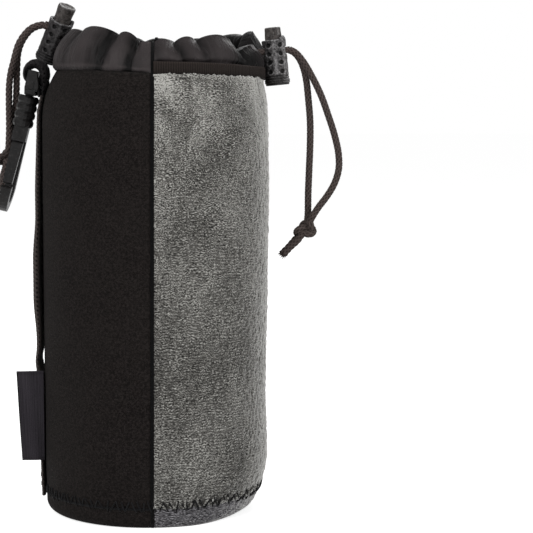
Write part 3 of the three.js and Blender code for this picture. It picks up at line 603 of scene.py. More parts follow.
def lining():
    """The plush inside: a tube and its floor, as one lofted shell that is open at the mouth."""
    step = 1.3
    n = int(TAU * LINING_RADIUS / step)
    bearing = np.linspace(0, TAU, n + 1)[:, None]
    top = seam_height(LINING_RADIUS * np.cos(bearing)) + 1.0
    rows = int(WALL_HEIGHT / step)
    z = LINING_FOOT + (top - LINING_FOOT) * np.linspace(0, 1, rows)
    nap, patch = strokes(n, rows, step, 2.0, 0.8, 0.6)
    nap, patch = (np.concatenate([layer, layer[:1]]) for layer in (nap, patch))
    face = wall_radius(bearing, z) - LINING_FACE_DEPTH
    inside = face - 0.35 * np.clip(nap, -1.5, 1.5) - 0.3 * np.clip(patch, -1.5, 1.5)
    back_z = inward(z, 6)
    back = wall_radius(bearing, back_z) - LINING_BACK_DEPTH
    rings = 34
    floor_r = np.linspace(0, 1, rings) * (face[:, :1] - 0.6)
    floor_z = LINING_FLOOR + 0.25 * rng.standard_normal((n + 1, rings)) * smoothstep(floor_r, 1, 6)
    floor_z[-1] = floor_z[0]
    under_r = np.array([1, 0.45, 0]) * (face[:, :1] + 0.6)
    grid = beside(polar(floor_r, bearing, floor_z), polar(inside, bearing, z), polar(back, bearing, back_z),
                  polar(under_r, bearing, LINING_UNDERSIDE))
    tone = beside(np.clip(0.42 + 0.3 * (floor_z - LINING_FLOOR), 0, 1),
                  np.clip(0.44 + 0.15 * nap + 0.12 * patch, 0, 1),
                  np.full(back_z.shape, 0.3), np.full((n + 1, 3), 0.3))
    obj = Shape().loft(grid, tone, closed=False, caps=False).piece(
        "plush_lining", "pouch", "plush", PLUSH, ["lining_tube", "lining_base"], weld=True)


lining()


def base_half(slot, low, high, step, pile, material, nodes):
    """Half of the base: its turned-up edge, and the flat panel that the pouch stands on."""
    n = int((high - low) * BASE_RADIUS / step)
    rows = 24
    bearing = np.linspace(low, high, n)[:, None]
    rise = BASE_SEAM - 0.1
    edge_z = rise * np.linspace(1, 0, rows) ** 1.8 + 0 * bearing
    edge = wall_radius(bearing, edge_z)
    flat = edge[:, -1:] * np.linspace(0.94, 0, 16)
    nap = rng.standard_normal((n, rows))
    tone = np.clip(0.46 + 0.1 * nap, 0, 1)
    edge = edge + pile * np.clip(0.3 * nap, -0.6, 0.6) * smoothstep(edge_z, 0.2, 2)
    back_r = np.array([0, 20, 41, 44, 44.6])
    back_z = np.array([3.4, 3.4, 3.4, 4.6, rise])
    limit = np.minimum(back_r, edge[:, :1] - 1.6)
    grid = beside(polar(edge, bearing, edge_z), polar(flat, bearing, 0), polar(limit, bearing, back_z))
    tones = beside(tone, np.full(flat.shape, 0.25), np.full((n, 5), 0.25))
    obj = Shape().loft(grid, tones).piece(f"{slot}_base", "pouch", slot, material, nodes, weld=True)


SLIT = 0.001
base_half("neoprene", BACK + SLIT, FRONT + TAU - SLIT, 1.6, 0, NEOPRENE, ["base_panel"])
base_half("plush", FRONT + SLIT, BACK - SLIT, 0.8, 1.0, SHADED_BASE_PLUSH, [])


STITCHES = 132


def base_seam():
    """Overlocked thread round the base seam: slanted stitches over a sunken line."""
    shape = Shape()
    bearing = np.linspace(0, TAU, 400)
    sunk = 0.5 + 0.9 * smoothstep(np.cos(bearing), -0.02, 0.02)
    line = polar(wall_radius(bearing, BASE_SEAM) - sunk, bearing, BASE_SEAM)
    thread(shape, line, 0.75, 8, 0.1)
    for i in range(STITCHES):
        share = np.linspace(-0.5, 0.5, 9)
        start = TAU * (i + 0.4 * rng.random()) / STITCHES
        reach = 1.6 + 0.9 * rng.random()
        lean = 0.75 * (1 - 1.7 * (i % 3 == 1)) + 0.3 * rng.standard_normal()
        bearings = start + lean * TAU / STITCHES * share
        z = BASE_SEAM + 0.9 + 0.4 * rng.random() - 2 * reach * share
        line = polar(wall_radius(bearings, z) + 0.35 * np.cos(math.pi * share) + 0.1, bearings, z)
        thread(shape, resample(line, 0.6), 0.3 + 0.1 * rng.random(), 6, 0.1 + 0.4 * rng.random())
    shape.piece("base_overlock", "pouch", "thread", THREAD, ["base_seam"])


base_seam()


# Gathered collar

# Its bearings run from 0 at +X through 90 at the front to 180 at -X.
# Lobes between the gathers: bearing, height of the rim, half width and slant to the foot, in degrees and mm
LOBES = np.array([
    (10, 206.8, 15, 0), (48, 210.2, 14, 3), (68, 209.1, 8.5, -4), (83, 208.0, 9, -5), (94, 206.9, 12, -2),
    (107.5, 211.1, 7.7, 5), (133, 213.8, 18, 7), (161, 213.4, 20, 0), (195, 213.8, 17, 4),
    (222, 213.4, 16, -4), (248, 212.8, 15, 5), (272, 211.8, 14, -3), (300, 211.6, 16, 4),
    (328, 213.0, 19, 0), (350, 213.6, 9, 0),
])
LOBE_FALL = 3.0
LOBE_TOP = 214
LOBE_SHARPNESS = 2.2


def lobes(degrees, level):
    """Rim height, and how far the cloth stands out: 1 at the middle of a lobe, less in the gathers."""
    centre, top, half, slant = LOBES.T
    spot = centre + slant * (1 - np.asarray(level, float))[..., None]
    away = turn_from(np.asarray(degrees, float)[..., None], spot, 360)
    fall = (away / half) ** 2
    weight = np.exp(LOBE_SHARPNESS * np.maximum(top - LOBE_FALL * fall - LOBE_TOP, -200))
    weight = weight / weight.sum(-1, keepdims=True)
    height = (weight * (top - LOBE_FALL * fall)).sum(-1)
    return height, (weight * np.maximum(1 - fall, -1.5)).sum(-1)


def collar_point(degrees, level, inside):
    """A point of the casing at a bearing, a level from 0 at the seam to 1 at the rim, and a face."""
    degrees, level, inside = np.broadcast_arrays(np.asarray(degrees, float), level, inside)
    turn = np.radians(-degrees)
    side = np.cos(turn)
    right = np.maximum(side, 0) ** 2
    foot = 45.0 + 1.4 * smoothstep(side, -1, -0.2) + 0.2 * right
    drop = 8.5 - 5 * right
    bend = 2.1 + 0.6 * np.minimum(side, 0) ** 2
    tuck = 3.4 * hump(turn_from(degrees, 348, 360), 0, 7)
    tuck = (tuck + 1.9 * hump(turn_from(degrees, 10, 360), 0, 6)) * (1 - 0.7 * level ** 3)
    puff = 1.3 * np.sin(math.pi * np.clip((level - 0.22) / 0.7, 0, 1)) * smoothstep(side, -0.05, 0.1)
    crease = smoothstep(side, -0.02, 0.05) * (1 - smoothstep(side, 0.9, 0.97))
    puff = puff - 1.6 * hump(level, 0.3, 0.09) * crease
    bulge = lobes(degrees, level)[1]
    small = 0.16 * np.sin(np.radians(degrees) * 41 + 3 * level) * np.sin(np.radians(degrees) * 7 + 1)
    cloth = (1.4 * (bulge - 0.6) + small) * (0.15 + 0.85 * level ** 0.9)
    roll = 1.1 * hump(level, 0, 0.05) * smoothstep(-side, 0, 0.1)
    radius = foot - drop * level ** bend + puff + cloth + tuck - roll
    swell = (6.4 + 3.0 * np.minimum(1, 2 * level)) * np.sqrt(np.maximum(0, 1 - level ** 4))
    radius = radius - np.where(inside > 0.5, swell + 0.3 * cloth, 0)
    base = seam_height(radius * np.cos(turn)) - np.where(inside > 0.5, -0.6, 0.5)
    rim = lobes(degrees, np.ones_like(level))[0]
    return polar(radius, turn, base + (rim - base) * level)


LEVELS = np.r_[np.linspace(0, 0.9, 30), 0.93, 0.955, 0.975, 0.99, 0.998]
# Painted shadow: the cloth is made darkest next to the right lock, where it lies in the lock's shade
LOCK_SHADE_AT = 12.0
LOCK_SHADE_SPREAD = 24.0


def collar_half(side, low, high, bound):
    """Half of the folded casing, from the seam over the rim and down its inside."""
    degrees = np.linspace(low, high, 420)[:, None]
    outer = collar_point(degrees, LEVELS, 0)
    crown = collar_point(degrees, 1.0, 0)
    inner = collar_point(degrees, LEVELS[::-1], 1)
    # Painted shade and light: the lobes are lighter on their crests and darker in the gathers.
    tone = 0.72 * np.clip(lobes(*np.broadcast_arrays(degrees, LEVELS))[1], -0.4, 1) + 0.07
    tone = tone - 0.3 * hump(degrees, LOCK_SHADE_AT, LOCK_SHADE_SPREAD)
    # Painted highlight: a light line along the hem.
    hem_highlight = 0.35 * hump(LEVELS, 0.12, 0.035)
    # Painted shade: the inside of the casing is dark.
    tones = beside(tone + hem_highlight, tone[:, -1:], 0.1 + 0 * tone)
    grid = beside(outer, crown, inner)
    obj = Shape().loft(grid, np.clip(tones, 0, 1)).piece(
        f"nylon_collar_{side}", "pouch", "nylon", NYLON, [f"collar_{side}"])


BINDING_RADIUS = 47.6
BINDING_HEIGHT = 5.5
BINDING_PITCH = 1.05


def binding():
    """Grosgrain band round the foot of the right collar half, with its upright ribs."""
    degrees = np.linspace(-89.3, 89.3, 1100)[:, None]
    turn = np.radians(-degrees)
    rib = np.cos(TAU * np.radians(degrees) * BINDING_RADIUS / BINDING_PITCH)
    height = np.array([0, 0.06, 0.2, 0.5, 0.8, 0.94, 1.0])
    swell = np.array([0.35, 0.8, 1.0, 1.05, 1.0, 0.8, 0.35])
    x = 47 * np.cos(turn)
    z = seam_height(x) - 1.0 + BINDING_HEIGHT * height
    lie = collar_point(degrees, 0.0, 0)
    face = np.hypot(lie[..., 0], lie[..., 1])
    outer = face + 0.1 + 0.8 * swell + 0.08 * rib * (swell > 0.5)
    grid = beside(polar(outer, turn, z), polar(face - 1.6 + 0 * z, turn, z)[:, ::-1])
    # Painted shade and light: the band is darker at its foot, under the plush's fringe, and lighter along
    # its top edge; its ribs are darker in their grooves.
    edge = np.array([-0.4, -0.4, -0.3, 0, 0, 0.3, 0.5])
    tone = beside(np.clip(0.4 + 0.3 * rib + edge, 0, 1), np.full(outer.shape, 0.3))
    shape = Shape().loft(grid, tone)
    return shape.piece("grosgrain_binding", "pouch", "grosgrain", GROSGRAIN, ["binding_tape"])


collar_half("left", 90.3, 269.7, [])
collar_half("right", -89.7, 89.7, [binding()])


TRIM_SECTION = [(-0.72, -0.3), (-0.72, 0.2), (-0.55, 0.42), (0, 0.48), (0.55, 0.42), (0.72, 0.2),
                (0.72, -0.3)]
TRIM_STEP = 0.8
TRIM_PITCH = 2.4


def seam_trim(where, bearing, degrees):
    """Narrow black tape over the joint of the two halves, up the wall and over the collar."""
    front = where == "front"
    z = np.r_[np.linspace(0.7, 9, 26), np.linspace(10, 193.4, 70)]
    wall = polar(wall_radius(bearing, z), bearing, z)
    level = np.r_[LEVELS[1:], 1.0]
    outside = collar_point(degrees, level, 0)
    back = collar_point(degrees, level[::-1][1:], 1)
    line = np.vstack([wall, outside, back])
    line[:, 0] = seam_place(np.minimum(line[:, 2], 194)) if front else 0
    line = resample(line, TRIM_STEP)
    tangent = heading(line)
    across = np.array([1.0, 0, 0])
    out = np.cross(across, tangent) * (1 if front else -1)
    rib = np.cos(TAU * np.arange(len(line)) * TRIM_STEP / TRIM_PITCH)[:, None]
    grid = np.stack([line + a * across + (b + 0.04 * rib * (b > 0.3)) * out for a, b in TRIM_SECTION], 1)
    # Painted shade and light: the tape is darker between its ribs and lighter on them.
    Shape().loft(grid, 0.5 + 0.4 * rib).piece(
        f"{where}_seam_tape", "pouch", "thread", TRIM, [f"{where}_seam_trim"])


seam_trim("front", FRONT, 90)
seam_trim("back", BACK, 270)


# Drawcord: the routes are those of the frame's cords

CORD_RADIUS = 1.6
RIGHT_EXIT = np.array([59.7697, 0, 205.0230])
LEFT_EXIT = np.array([-49.8105, 15.5280, 216.5919])
ROUTES = {
    "right_cord_inner": (RIGHT_EXIT, [
        (0, 1.75, 0), (2.6, 1.8, -1.4), (5, 1.8, -4.4), (6.7, 1.8, -8.5), (7.8, 1.8, -13.2),
        (8.8, 1.8, -22), (9.6, 1.8, -32), (9.6, 1.8, -42.6), (9.2, 1.8, -53.3), (8.8, 1.8, -64),
        (8.6, 1.8, -74.6)]),
    "right_cord_outer": (RIGHT_EXIT, [
        (0, -1.75, 0), (2.7, -1.8, -1.4), (6.1, -1.8, -5.2), (10.5, -1.8, -12.6), (14.3, -1.8, -20.5),
        (17.4, -1.8, -29), (20.2, -1.8, -37.6), (22.1, -1.8, -46.2), (22.2, -1.8, -53.2),
        (20.3, -1.8, -59.6), (17, -1.8, -65.2), (13.2, -1.8, -70.2), (10.5, -1.8, -74.4)]),
    "left_cord_front": (LEFT_EXIT, [
        (0, -1.75, 0), (-3.1, -1.8, -0.5), (-6.3, -1.8, -2), (-9.2, -1.8, -4.9), (-11.8, -1.8, -9.2),
        (-13.2, -1.8, -13.6), (-14.2, -1.7, -17.4), (-15.3, -1.5, -21.4), (-16.1, -1.3, -27),
        (-16.3, -1.3, -33.7), (-16.3, -1.5, -40.5), (-16.3, -1.7, -46.3), (-16.7, -1.8, -54.8)]),
    "left_cord_back": (LEFT_EXIT, [
        (0, 1.75, 0), (-3.1, 1.8, -0.5), (-6.2, 1.8, -2), (-9, 1.8, -5), (-11.4, 1.8, -9.4),
        (-12.5, 1.8, -14), (-12.8, 1.8, -18.4), (-13, 1.7, -22.8), (-13.2, 1.6, -29.2), (-13.6, 1.6, -36),
        (-14.6, 1.7, -42.7), (-15.8, 1.8, -49.4), (-16.8, 1.8, -54.8)]),
}
KNOTS = {
    "right": (RIGHT_EXIT, (7.6, 0, -80.2), [
        [(6.7, 1.2, -81), (3.3, 1.5, -84.6), (0.1, 1.4, -88.4), (-2.9, 1.7, -91.6)],
        [(6.7, -1.2, -81), (3.7, -1.7, -85), (0.3, -1.6, -88), (-2.5, -1.9, -91)]]),
    "left": (LEFT_EXIT, (-17.6, 1.6, -59.8), [
        [(-18, 0.6, -62), (-18.8, 0.2, -66.4), (-19.4, 0.1, -70.6), (-19.8, -0.2, -74.2)],
        [(-18, 2.8, -62), (-19.2, 3.3, -66), (-20.4, 3.4, -69.8), (-21.2, 3.7, -73)]]),
}
# The knot is a wide trefoil whose top leans over to where the strands run in
KNOT_FORM = np.array([[1.4, 0, 0], [0, 1.22, 0], [0.3, 0, 1.03]])
TAIL_SWELL = 0.35
FRAYED_ENDS = 16
FRAY_TURN = 0.382
INTO_KNOT = 0.6
CORD_STEP = 0.33


def knot(side):
    """An overhand knot tied in both strands, with its two cut and frayed ends."""
    origin, place, tails = KNOTS[side]
    shape = Shape()
    t = np.linspace(0, TAU, 121)
    loop = np.stack([np.sin(t) + 2 * np.sin(2 * t), 1.5 * np.sin(3 * t), 2 * np.cos(2 * t) - np.cos(t)], 1)
    line = origin + np.array(place) + loop @ KNOT_FORM
    braid(shape, line, CORD_RADIUS, towards=loop + np.array([0, 0.01, 0]), caps=False)
    for tail in tails:
        line = spline(origin + np.array(tail), CORD_STEP)
        loosened = TAIL_SWELL * np.linspace(0, 1, len(line))[:, None]
        braid(shape, line, CORD_RADIUS + loosened)
        first, second = sides_of(line)
        ahead = unit(line[-1] - line[-4])
        for i in range(FRAYED_ENDS):
            turn = TAU * i * FRAY_TURN
            out = first[-1] * math.cos(turn) + second[-1] * math.sin(turn)
            root = line[-1] - 0.6 * ahead + out * CORD_RADIUS * math.sqrt((i + 0.5) / FRAYED_ENDS) * 0.9
            tip = root + ahead * (1.2 + 0.9 * rng.random()) + out * 0.5 * rng.random()
            thread(shape, resample([root, tip], 0.5), 0.16, 5, 0.7)
    return shape.piece(f"{side}_cord_knot_tied", f"{side}_lock", "cord", CORD, [f"{side}_cord_knot"],
                       weld=True)


def free_cord(side, strand):
    """A strand from its lock into the knot."""
    node = f"{side}_cord_{strand}"
    origin, route = ROUTES[node]
    ahead = np.array(KNOTS[side][1]) - route[-1]
    line = spline(origin + np.array([*route, route[-1] + INTO_KNOT * ahead]), CORD_STEP)
    obj = braid(Shape(), line, CORD_RADIUS).piece(f"{node}_braid", f"{side}_lock", "cord", CORD, [node])


def channel_cord(where, low, high):
    """The drawcord inside the collar's casing, which is out of sight."""
    degrees = np.linspace(low, high, 300)
    line = 0.5 * (collar_point(degrees, 0.5, 0) + collar_point(degrees, 0.5, 1))
    shape = braid(Shape(), resample(line, 0.6), 1.5, sides=12)
    shape.piece(f"{where}_casing_cord", "pouch", "cord", CORD, [f"{where}_channel_cord"])


channel_cord("front", 5, 195)
channel_cord("back", 205, 355)


# Cord locks, about the centre of each cord hole: +Z is the press axis, +X the way the cord leaves

LOCKS = {
    "right": ((53.3, 0, 204.4), (0.99540, 0, 0.09585), (-0.09585, 0, 0.99540)),
    "left": ((-43.8496, 15.5280, 214.0), (-0.91706, 0, 0.39875), (0.38133, -0.29237, 0.87699)),
}
BARREL_BOTTOM = -15.2
BARREL_RADIUS = 5.4
BORE_RADIUS = 4.0
DENT_HEIGHTS = (2.4, -1.4, -5.2, -9.2)
FOOT_PITCH = 1.1
STEM_RADIUS = 3.72
COIL_RADIUS = 2.6
COIL_TURNS = 4


def lock_place(side, local):
    """From a lock's own axes to the pouch's."""
    centre, out, press = (np.array(v, float) for v in LOCKS[side])
    return centre + local @ np.stack([out, np.cross(press, out), press])


def moulded(side, part, body, grid, tone, material):
    """A lock's moulded part, from a profile that is turned about the press axis."""
    shape = Shape().loft(lock_place(side, grid), np.clip(tone, 0, 1), closed=False, caps=False)
    shape.piece(f"{side}_{part}_moulded", body, "lock_plastic", material, [f"{side}_lock_{part}"],
                weld=True)


def barrel(side, columns, ear_at):
    """A moulded barrel: a ringed foot, a dented grip, a slot for the cord and an open top with an ear."""
    z = np.r_[np.full(4, BARREL_BOTTOM), -15.0, np.linspace(-14.8, 4.5, 150), 4.7, 4.8, 4.8, 4.6, 3.0, -2.0,
              -13.0, -13.1]
    r = np.r_[0.0, 2.5, 4.7, 5.0, 5.2, np.full(150, BARREL_RADIUS), 5.3, 5.1, 4.3,
              np.full(4, BORE_RADIUS), 0.0]
    foot = smoothstep(-z, 10.8, 11.2) * (r > 4.9)
    rings = np.sin(TAU * z / FOOT_PITCH)
    r = r + foot * (0.12 * rings - 0.1) + 0.35 * hump(z, -13.4, 0.8) * (r > 4.9)
    turn = np.linspace(0, TAU, 140, endpoint=False)[:, None]
    radius = r + 0 * turn
    # Painted shade: the left lock lies in shade, so all its marks, worn and painted, are weaker.
    wear_and_light = 1.0 if side == "right" else 0.45
    # Painted shade: the foot's rings are darkened, most in their grooves.
    tone = 0.5 + foot * (0.14 * rings - 0.16) + 0 * turn
    side_wall = (r > 5) & (z > -10.6) & (z < 4.6)
    for i, column in enumerate(columns):
        away = turn_from(turn, math.radians(column)) * BARREL_RADIUS
        ridge = hump(away, 2.9, 0.9) * side_wall * (i % 2 == 0)
        radius += 0.25 * ridge
        tone += 0.42 * wear_and_light * ridge
        for k, height in enumerate(DENT_HEIGHTS):
            lean = 0.25 * math.sin(5.0 * i + 2.3 * k)
            far = np.hypot((away + lean * (z - height)) / 1.25, (z - height) / 1.05)
            # Painted shade and highlight: each dent is darkened, with a light rim below it.
            dent = side_wall * (1 - smoothstep(far, 0.55, 1.05))
            radius -= dent
            tone -= (0.4 + 0.55 * wear_and_light) * dent
            tone += side_wall * 0.38 * wear_and_light * hump(far, 1.25, 0.2) * (z < height)
    across = np.abs(turn_from(turn, 0, math.pi)) * BARREL_RADIUS
    slot = (1 - smoothstep(across, 2.7, 3.0)) * (1 - smoothstep(np.abs(z), 1.5, 1.8))
    radius -= side_wall * 1.1 * slot
    tone += 0.45 * hump(z, 4.7, 0.3) * (r > 4.2)
    ear = hump(turn_from(turn, math.radians(ear_at)), 0, 0.34)
    height = z + 1.6 * ear * smoothstep(z, 2.6, 4.8) * (r > 4.2)
    panel = ear * ((r > 5) & (z > -14.5))
    radius += 0.25 * panel
    # Painted light: the panel under the ear is made lighter.
    tone += 0.45 * wear_and_light * panel
    grid = polar(radius, turn, height)
    grid, tone = (np.concatenate([layer, layer[:1]]) for layer in (grid, tone))
    moulded(side, "barrel", f"{side}_lock", grid, tone, BARREL_LOOKS[side])


def plunger(side, rise, flare):
    """The push button: a squarish stem with a dished top."""
    z = np.r_[-6.2, -6.2, -6.0, np.linspace(-5.8, 9.9, 60), 10.4, 10.8, 11.0, 11.0, 10.6, 10.5, 10.5]
    stem = STEM_RADIUS + flare * smoothstep(np.linspace(-5.8, 9.9, 60), 6.5, 9.9)
    r = np.r_[0.0, 3.4, 3.65, stem, stem[-1] - np.array([0, 0.12, 0.37, 0.87, 1.17]), 1.2, 0.0]
    z = z + rise * smoothstep(z, 0, 9)
    turn = np.linspace(0, TAU, 97)[:, None]
    square = 1.0 / (np.abs(np.cos(turn)) ** 5 + np.abs(np.sin(turn) * 0.96) ** 5) ** (1 / 5)
    radius = r * np.minimum(square, 1.04)
    notch = hump(turn_from(turn, 5.4), 0, 0.2) * ((z > 6.5) & (r > 2.4))
    radius = radius - 0.5 * notch
    top = 11 + rise
    rim = hump(z, top, 0.4) * (r > 2.4)
    dish = (z > top - 0.7) & (r < 3)
    # Painted light: the button's top rim and dish are made lighter, and its notch shows as a lighter strip.
    tone = 0.5 + 0.4 * rim + 0.15 * dish + 0.25 * notch
    moulded(side, "plunger", f"{side}_plunger", polar(radius, turn, z), tone, BUTTON)


def nip(side):
    """The two strands where the lock squeezes them flat."""
    shape = Shape()
    for y in (-1.3, 1.3):
        line = resample(lock_place(side, np.array([[-13.4, y, 0], [6.8, y * 1.3, 0]])), 0.4)
        braid(shape, line, 1.45, depth=0.14)
    return shape.piece(f"{side}_nipped_cords", f"{side}_lock", "cord", CORD, [f"{side}_cord_nip"])


def coil(side):
    """The spring under the button, which shortens when the button is pressed; here it is built at one
    length.
    """
    share = np.linspace(0, 1, 220)
    low, high, wire = -12.9, -6.5, 0.7
    z = low + wire / 2 + (high - low - wire) * share
    line = lock_place(side, polar(COIL_RADIUS, COIL_TURNS * TAU * share, z))
    obj = thread(Shape(), line, wire / 2, 8).piece(
        f"{side}_spring_coil", f"{side}_lock", "spring_steel", STEEL, [f"{side}_lock_spring"])
    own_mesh(obj)


# Bearings of the grip's columns and of the ear, and how far the button stands up and flares
LOCK_FACES = {
    "right": ((237, 298, 358, 57, 118, 178), 322, -0.6, -0.2),
    "left": ((70, 130, 190, 250, 310, 10), 205, 1.2, 0.25),
}
STRANDS = {"right": ("inner", "outer"), "left": ("front", "back")}
for side, (columns, ear_at, rise, flare) in LOCK_FACES.items():
    barrel(side, columns, ear_at)
    plunger(side, rise, flare)
    coil(side)
    on_cords = [nip(side), knot(side)]
    for strand in STRANDS[side]:
        free_cord(side, strand)


# Left side: strap, label, hook loop and hook

WEBBING_PITCH = 2.0


def ribbon(shape, line, out, across, width, thickness, relief=0.14):
    """Woven webbing along a line: a flat band with rounded edges and a herringbone weave."""
    y = np.linspace(-width / 2, width / 2, 2 * width)
    slant = np.abs(np.mod(y, width / 4) - width / 8)
    weave = np.sin(TAU * (run_along(line)[:, None] + 1.6 * slant) / WEBBING_PITCH)
    half = thickness[:, None] / 2
    edge = half.max()
    round_off = rounded((np.abs(y) - width / 2 + edge) / edge)
    rise = half * round_off + relief * weave * np.maximum(round_off, 0.6)
    place = line[:, None] + across[:, None] * y[:, None]
    raised = out[:, None] * rise[..., None]
    # Painted shade and light: the weave is darker in its hollows and lighter on its raised threads.
    tone = 0.5 + 0.4 * weave
    return shape.loft(beside(place + raised, (place - raised)[:, ::-1]), beside(tone, tone[:, ::-1]))


def bartacks(name, rows, half_width, count, radius):
    """Rows of short slanting stitches: each row has the place and height of a stitch's two ends."""
    shape = Shape()
    for (x, z), (end_x, end_z) in rows:
        for y in np.linspace(-half_width, half_width, count):
            thread(shape, resample([(x, y, z), (end_x, y + 0.5, end_z)], 0.4), radius)
    shape.piece(name, "pouch", "thread", THREAD)


STRAP_WIDTH = 20
STRAP_TURN = math.radians(-2.4)
BOW_HEIGHT = 104
SLIT_HEIGHT = 67


def strap_bow(z):
    """0 where the strap lies along the wall, 1 at the middle of its bow."""
    return 1 - smoothstep(np.abs(z - BOW_HEIGHT), 8, 28)


def strap_slit(z):
    """1 at the short opening above the label."""
    return hump(z, SLIT_HEIGHT, 4)


def strap_gap(z):
    ends = np.clip(np.minimum((183 - z) / 40, (z - 24) / 30), 0, 1)
    return 0.1 + 0.55 * ends ** 2 + 0.15 * strap_bow(z) + 1.05 * strap_slit(z)


def strap_thickness(z):
    free = smoothstep(z, 24, 54) * (1 - smoothstep(z, 143, 183))
    return 1.4 + 0.75 * strap_bow(z) + 0.65 * free - 0.45 * strap_slit(z)


def strap():
    z = np.linspace(6.5, 184.4, 440)
    line = np.stack([-wall_radius(math.pi, z) - strap_gap(z) - strap_thickness(z) / 2, 0 * z, z], 1)
    tangent = heading(line)
    turn = STRAP_TURN * strap_bow(z)
    across = np.stack([-np.sin(turn), np.cos(turn), 0 * turn], 1)
    out = unit(np.cross(tangent, across))
    obj = ribbon(Shape(), line, out, across, STRAP_WIDTH, strap_thickness(z)).piece(
        "webbing_strap", "pouch", "webbing", STRAP, ["belt_strap"])
    rows = [[(-wall_radius(math.pi, z) - strap_gap(z) - 1.5, z) for z in (low, low + 1.7)]
            for low in (11.0, 15.0, 177.0, 181.0)]
    bartacks("strap_bartacks", rows, 8.5, 12, 0.28)


strap()


LABEL_FOOT = 23
LABEL_TOP = 63


def label():
    """A folded cloth tag, bare, that stands out in front of the strap."""
    z = np.linspace(LABEL_FOOT, LABEL_TOP, 120)[:, None]
    x = np.linspace(-1, 1, 90)
    left = -61.6 + 2.1 * (LABEL_TOP - z) / 40
    right = -49.5
    crease = hump(x, -0.94, 0.05)
    round_off = rounded((np.abs(x) - 0.95) / 0.05)
    rib = np.sin(TAU * 6.2 * x / 1.1 + 2 * np.sin(7 * x)) * (0.6 + 0.4 * np.sin(0.5 * z + 9 * x))
    rise = (0.4 + 0.04 * rib + 0.12 * np.sin(2.4 * x + 1)) * round_off
    place_x = (left + right) / 2 + (right - left) / 2 * x
    bend = -11.6 + 0.35 * np.sin(0.09 * z) + 0.6 * np.sin(1.3 * x + 0.4) + 0.25 * np.sin(0.17 * z + 2.5 * x)
    front, back = (np.stack(np.broadcast_arrays(place_x, bend + face * rise, z), -1) for face in (-1, 1))
    # Painted shade: the tag is darker in the crease of its fold and between its ribs. It is also darker at
    # its two ends and towards its side by the wall.
    edge = hump(z, LABEL_FOOT + 1, 0.5) + hump(z, LABEL_TOP - 1, 0.5)
    tone = 0.5 + 0.16 * rib - 0.22 * smoothstep(x, 0.3, 1.0) + 0.12 * np.sin(5 * x + 0.06 * z)
    tone = np.clip(tone - 0.3 * crease - 0.2 * edge, 0, 1)
    shape = Shape().loft(beside(front, back[:, ::-1]), beside(tone, tone[:, ::-1]))
    obj = shape.piece("folded_label", "label", "label_cloth", LABEL, ["side_label"])


label()


LOOP_CENTRE = (-53.3, 193.8)
LOOP_BORE = 2.95
LOOP_WIDTH = 16
SEWN_THICKNESS = 1.3


def loop_thickness(turn):
    """The doubled webbing round the hook's bar: thickest above it and on the pouch's side."""
    return 1.4 + 2.2 * smoothstep(np.cos(turn), -0.6, 1) + 1.4 * np.maximum(0, np.sin(turn)) ** 2


def hook_loop():
    """Webbing folded round the hook's bar, with both ends sewn to the wall."""
    turn = np.radians(np.linspace(-25, 255, 20))
    reach = LOOP_BORE + loop_thickness(turn) / 2
    ring = LOOP_CENTRE + np.stack([reach * np.cos(turn), reach * np.sin(turn)], 1)
    first_end = [(-49.1, 183.9), (-48.8, 186.4), (-48.5, 189.3)]
    last_end = [(-51.9, 188.1), (-50.7, 186.3), (-50.5, 183.9)]
    path = np.vstack([first_end, ring, last_end])
    line = spline(np.stack([path[:, 0], 0 * path[:, 0], path[:, 1]], 1), 0.3)
    tangent = heading(line)
    across = np.array([0, 1.0, 0]) + 0 * line
    out = unit(np.cross(across, tangent))
    run = run_along(line)
    length = float(run[-1])
    bearing = np.arctan2(line[:, 2] - LOOP_CENTRE[1], line[:, 0] - LOOP_CENTRE[0])
    sewn = np.minimum(smoothstep(run, 1, 8), 1 - smoothstep(run, length - 7, length - 3))
    thickness = SEWN_THICKNESS + (loop_thickness(bearing) - SEWN_THICKNESS) * sewn
    obj = ribbon(Shape(), line, out, across, LOOP_WIDTH, thickness, relief=0.12).piece(
        "webbing_loop", "pouch", "webbing", WEBBING, ["hook_loop"])
    rows = [((x, low), (x - 0.1, low + 1.5)) for x, low in ((-51.3, 184.4), (-51.5, 186.6))]
    bartacks("loop_bartacks", rows, 6.5, 9, 0.26)


hook_loop()

HOOK_TILT = math.radians(13.5)
EYE_BAR_CENTRE = (-53.4, 193.7)
EYE_SLOT_END = -6.2
CHEEK = [(-1.86, 1.2), (-1.2, 1.86), (1.6, 1.86), (2.3, 1.3), (4.4, -4.8), (4.2, -6.2), (3.0, -7.0),
         (2.9, -8.6), (2.4, -9.0), (-1.86, -9.0)]
# Sections of a cheek: how far out each lies, and how far it draws in at the edges
CHEEK_SECTIONS = ((8.75, 0.5), (8.9, 0.15), (9.2, 0), (10.7, 0), (10.95, 0.15), (11.06, 0.5))


def eye_cheeks():
    """The eye's two side bars, which deepen towards the grip and then close in on its neck."""
    corners = resample([(x, 0, z) for x, z in [*CHEEK, CHEEK[0]]], 0.25)[:-1]
    middle = corners.mean(0)
    shape = Shape()
    for side in (-1, 1):
        rings = []
        for y, inset in CHEEK_SECTIONS:
            ring = corners - inset * unit(corners - middle)
            x = ring[:, 0] * math.cos(HOOK_TILT) + ring[:, 2] * math.sin(HOOK_TILT)
            z = ring[:, 2] * math.cos(HOOK_TILT) - ring[:, 0] * math.sin(HOOK_TILT)
            width = y - 2.0 * np.maximum(0, EYE_SLOT_END - ring[:, 2])
            rings.append(np.stack([EYE_BAR_CENTRE[0] + x, side * width, EYE_BAR_CENTRE[1] + z], 1))
        shape.loft(rings)
    shape.piece("eye_cheeks", "eye", "hook_plastic", HOOK)


eye_cheeks()

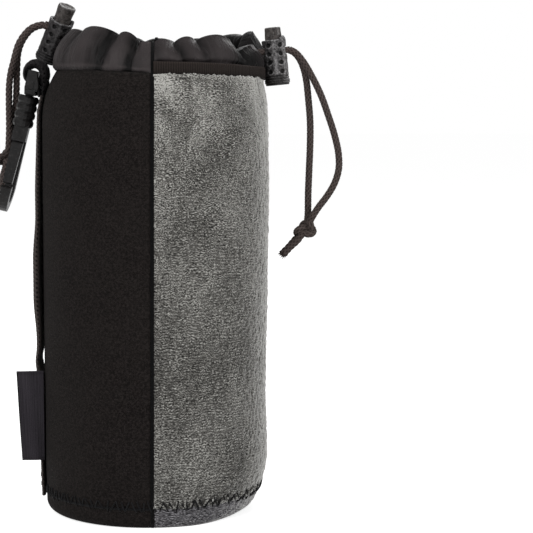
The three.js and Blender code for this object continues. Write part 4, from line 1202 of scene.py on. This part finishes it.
SOFT_EDGE = 0.55
for node in ("hook_eye", "hook_body", "hook_gate"):
    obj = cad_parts[node]
    obj.data.materials.clear()
    obj.data.materials.append(HOOK)
    soften = obj.modifiers.new("soften", "BEVEL")
    soften.width = SOFT_EDGE * MM
    soften.segments = 2
    soften.limit_method = "ANGLE"
    soften.angle_limit = math.radians(35)


# Floor, world and light

FLOOR_GREY = (0.62, 0.62, 0.62, 1)
FLOOR_GLOW = 0.72
WORLD_LIGHT = 0.44
WORLD_SEEN = 1.0


def floor():
    """A pale floor, which glows a little for the camera and in reflections."""
    mesh = bpy.data.meshes.new("floor")
    mesh.from_pydata([(-12, -6, 0), (12, -6, 0), (12, 18, 0), (-12, 18, 0)], [], [(0, 1, 2, 3)])
    obj = bpy.data.objects.new("floor", mesh)
    scene.collection.objects.link(obj)
    material = bpy.data.materials.new("floor_white")
    nodes = Nodes(material)
    nodes.tree.nodes.clear()
    rays = [nodes.node("LightPath", out=f"Is {kind} Ray") for kind in ("Camera", "Glossy")]
    seen = nodes.math("MAXIMUM", *rays)
    glow = nodes.node("Emission", Strength=nodes.times(seen, FLOOR_GLOW))
    both = nodes.node("AddShader", _0=nodes.node("BsdfDiffuse", Color=FLOOR_GREY), _1=glow)
    nodes.node("OutputMaterial", Surface=both)
    mesh.materials.append(material)


def studio():
    """An even white world, brighter where the camera sees it than as a light."""
    scene.world = bpy.data.worlds.new("studio")
    nodes = Nodes(scene.world)
    nodes.tree.nodes.clear()
    strength = nodes.span(nodes.node("LightPath", out="Is Camera Ray"), WORLD_LIGHT, WORLD_SEEN)
    nodes.node("OutputWorld", Surface=nodes.node("Background", Color=(1, 1, 1, 1), Strength=strength))


floor()
studio()


def lamp(name, place, size, power):
    data = bpy.data.lights.new(name, "AREA")
    data.shape = "DISK"
    data.size = size
    data.energy = power
    obj = bpy.data.objects.new(name, data)
    obj.location = place
    obj.rotation_euler = (Vector((0, 0, 0.1)) - Vector(place)).to_track_quat("-Z", "Y").to_euler()
    scene.collection.objects.link(obj)


lamp("key", (-0.75, -1.1, 1.05), 0.9, 17)
lamp("fill", (1.1, -0.8, 0.55), 0.8, 9)
lamp("back", (0.3, 1.1, 0.9), 0.8, 8)

scene.view_settings.view_transform = "Standard"
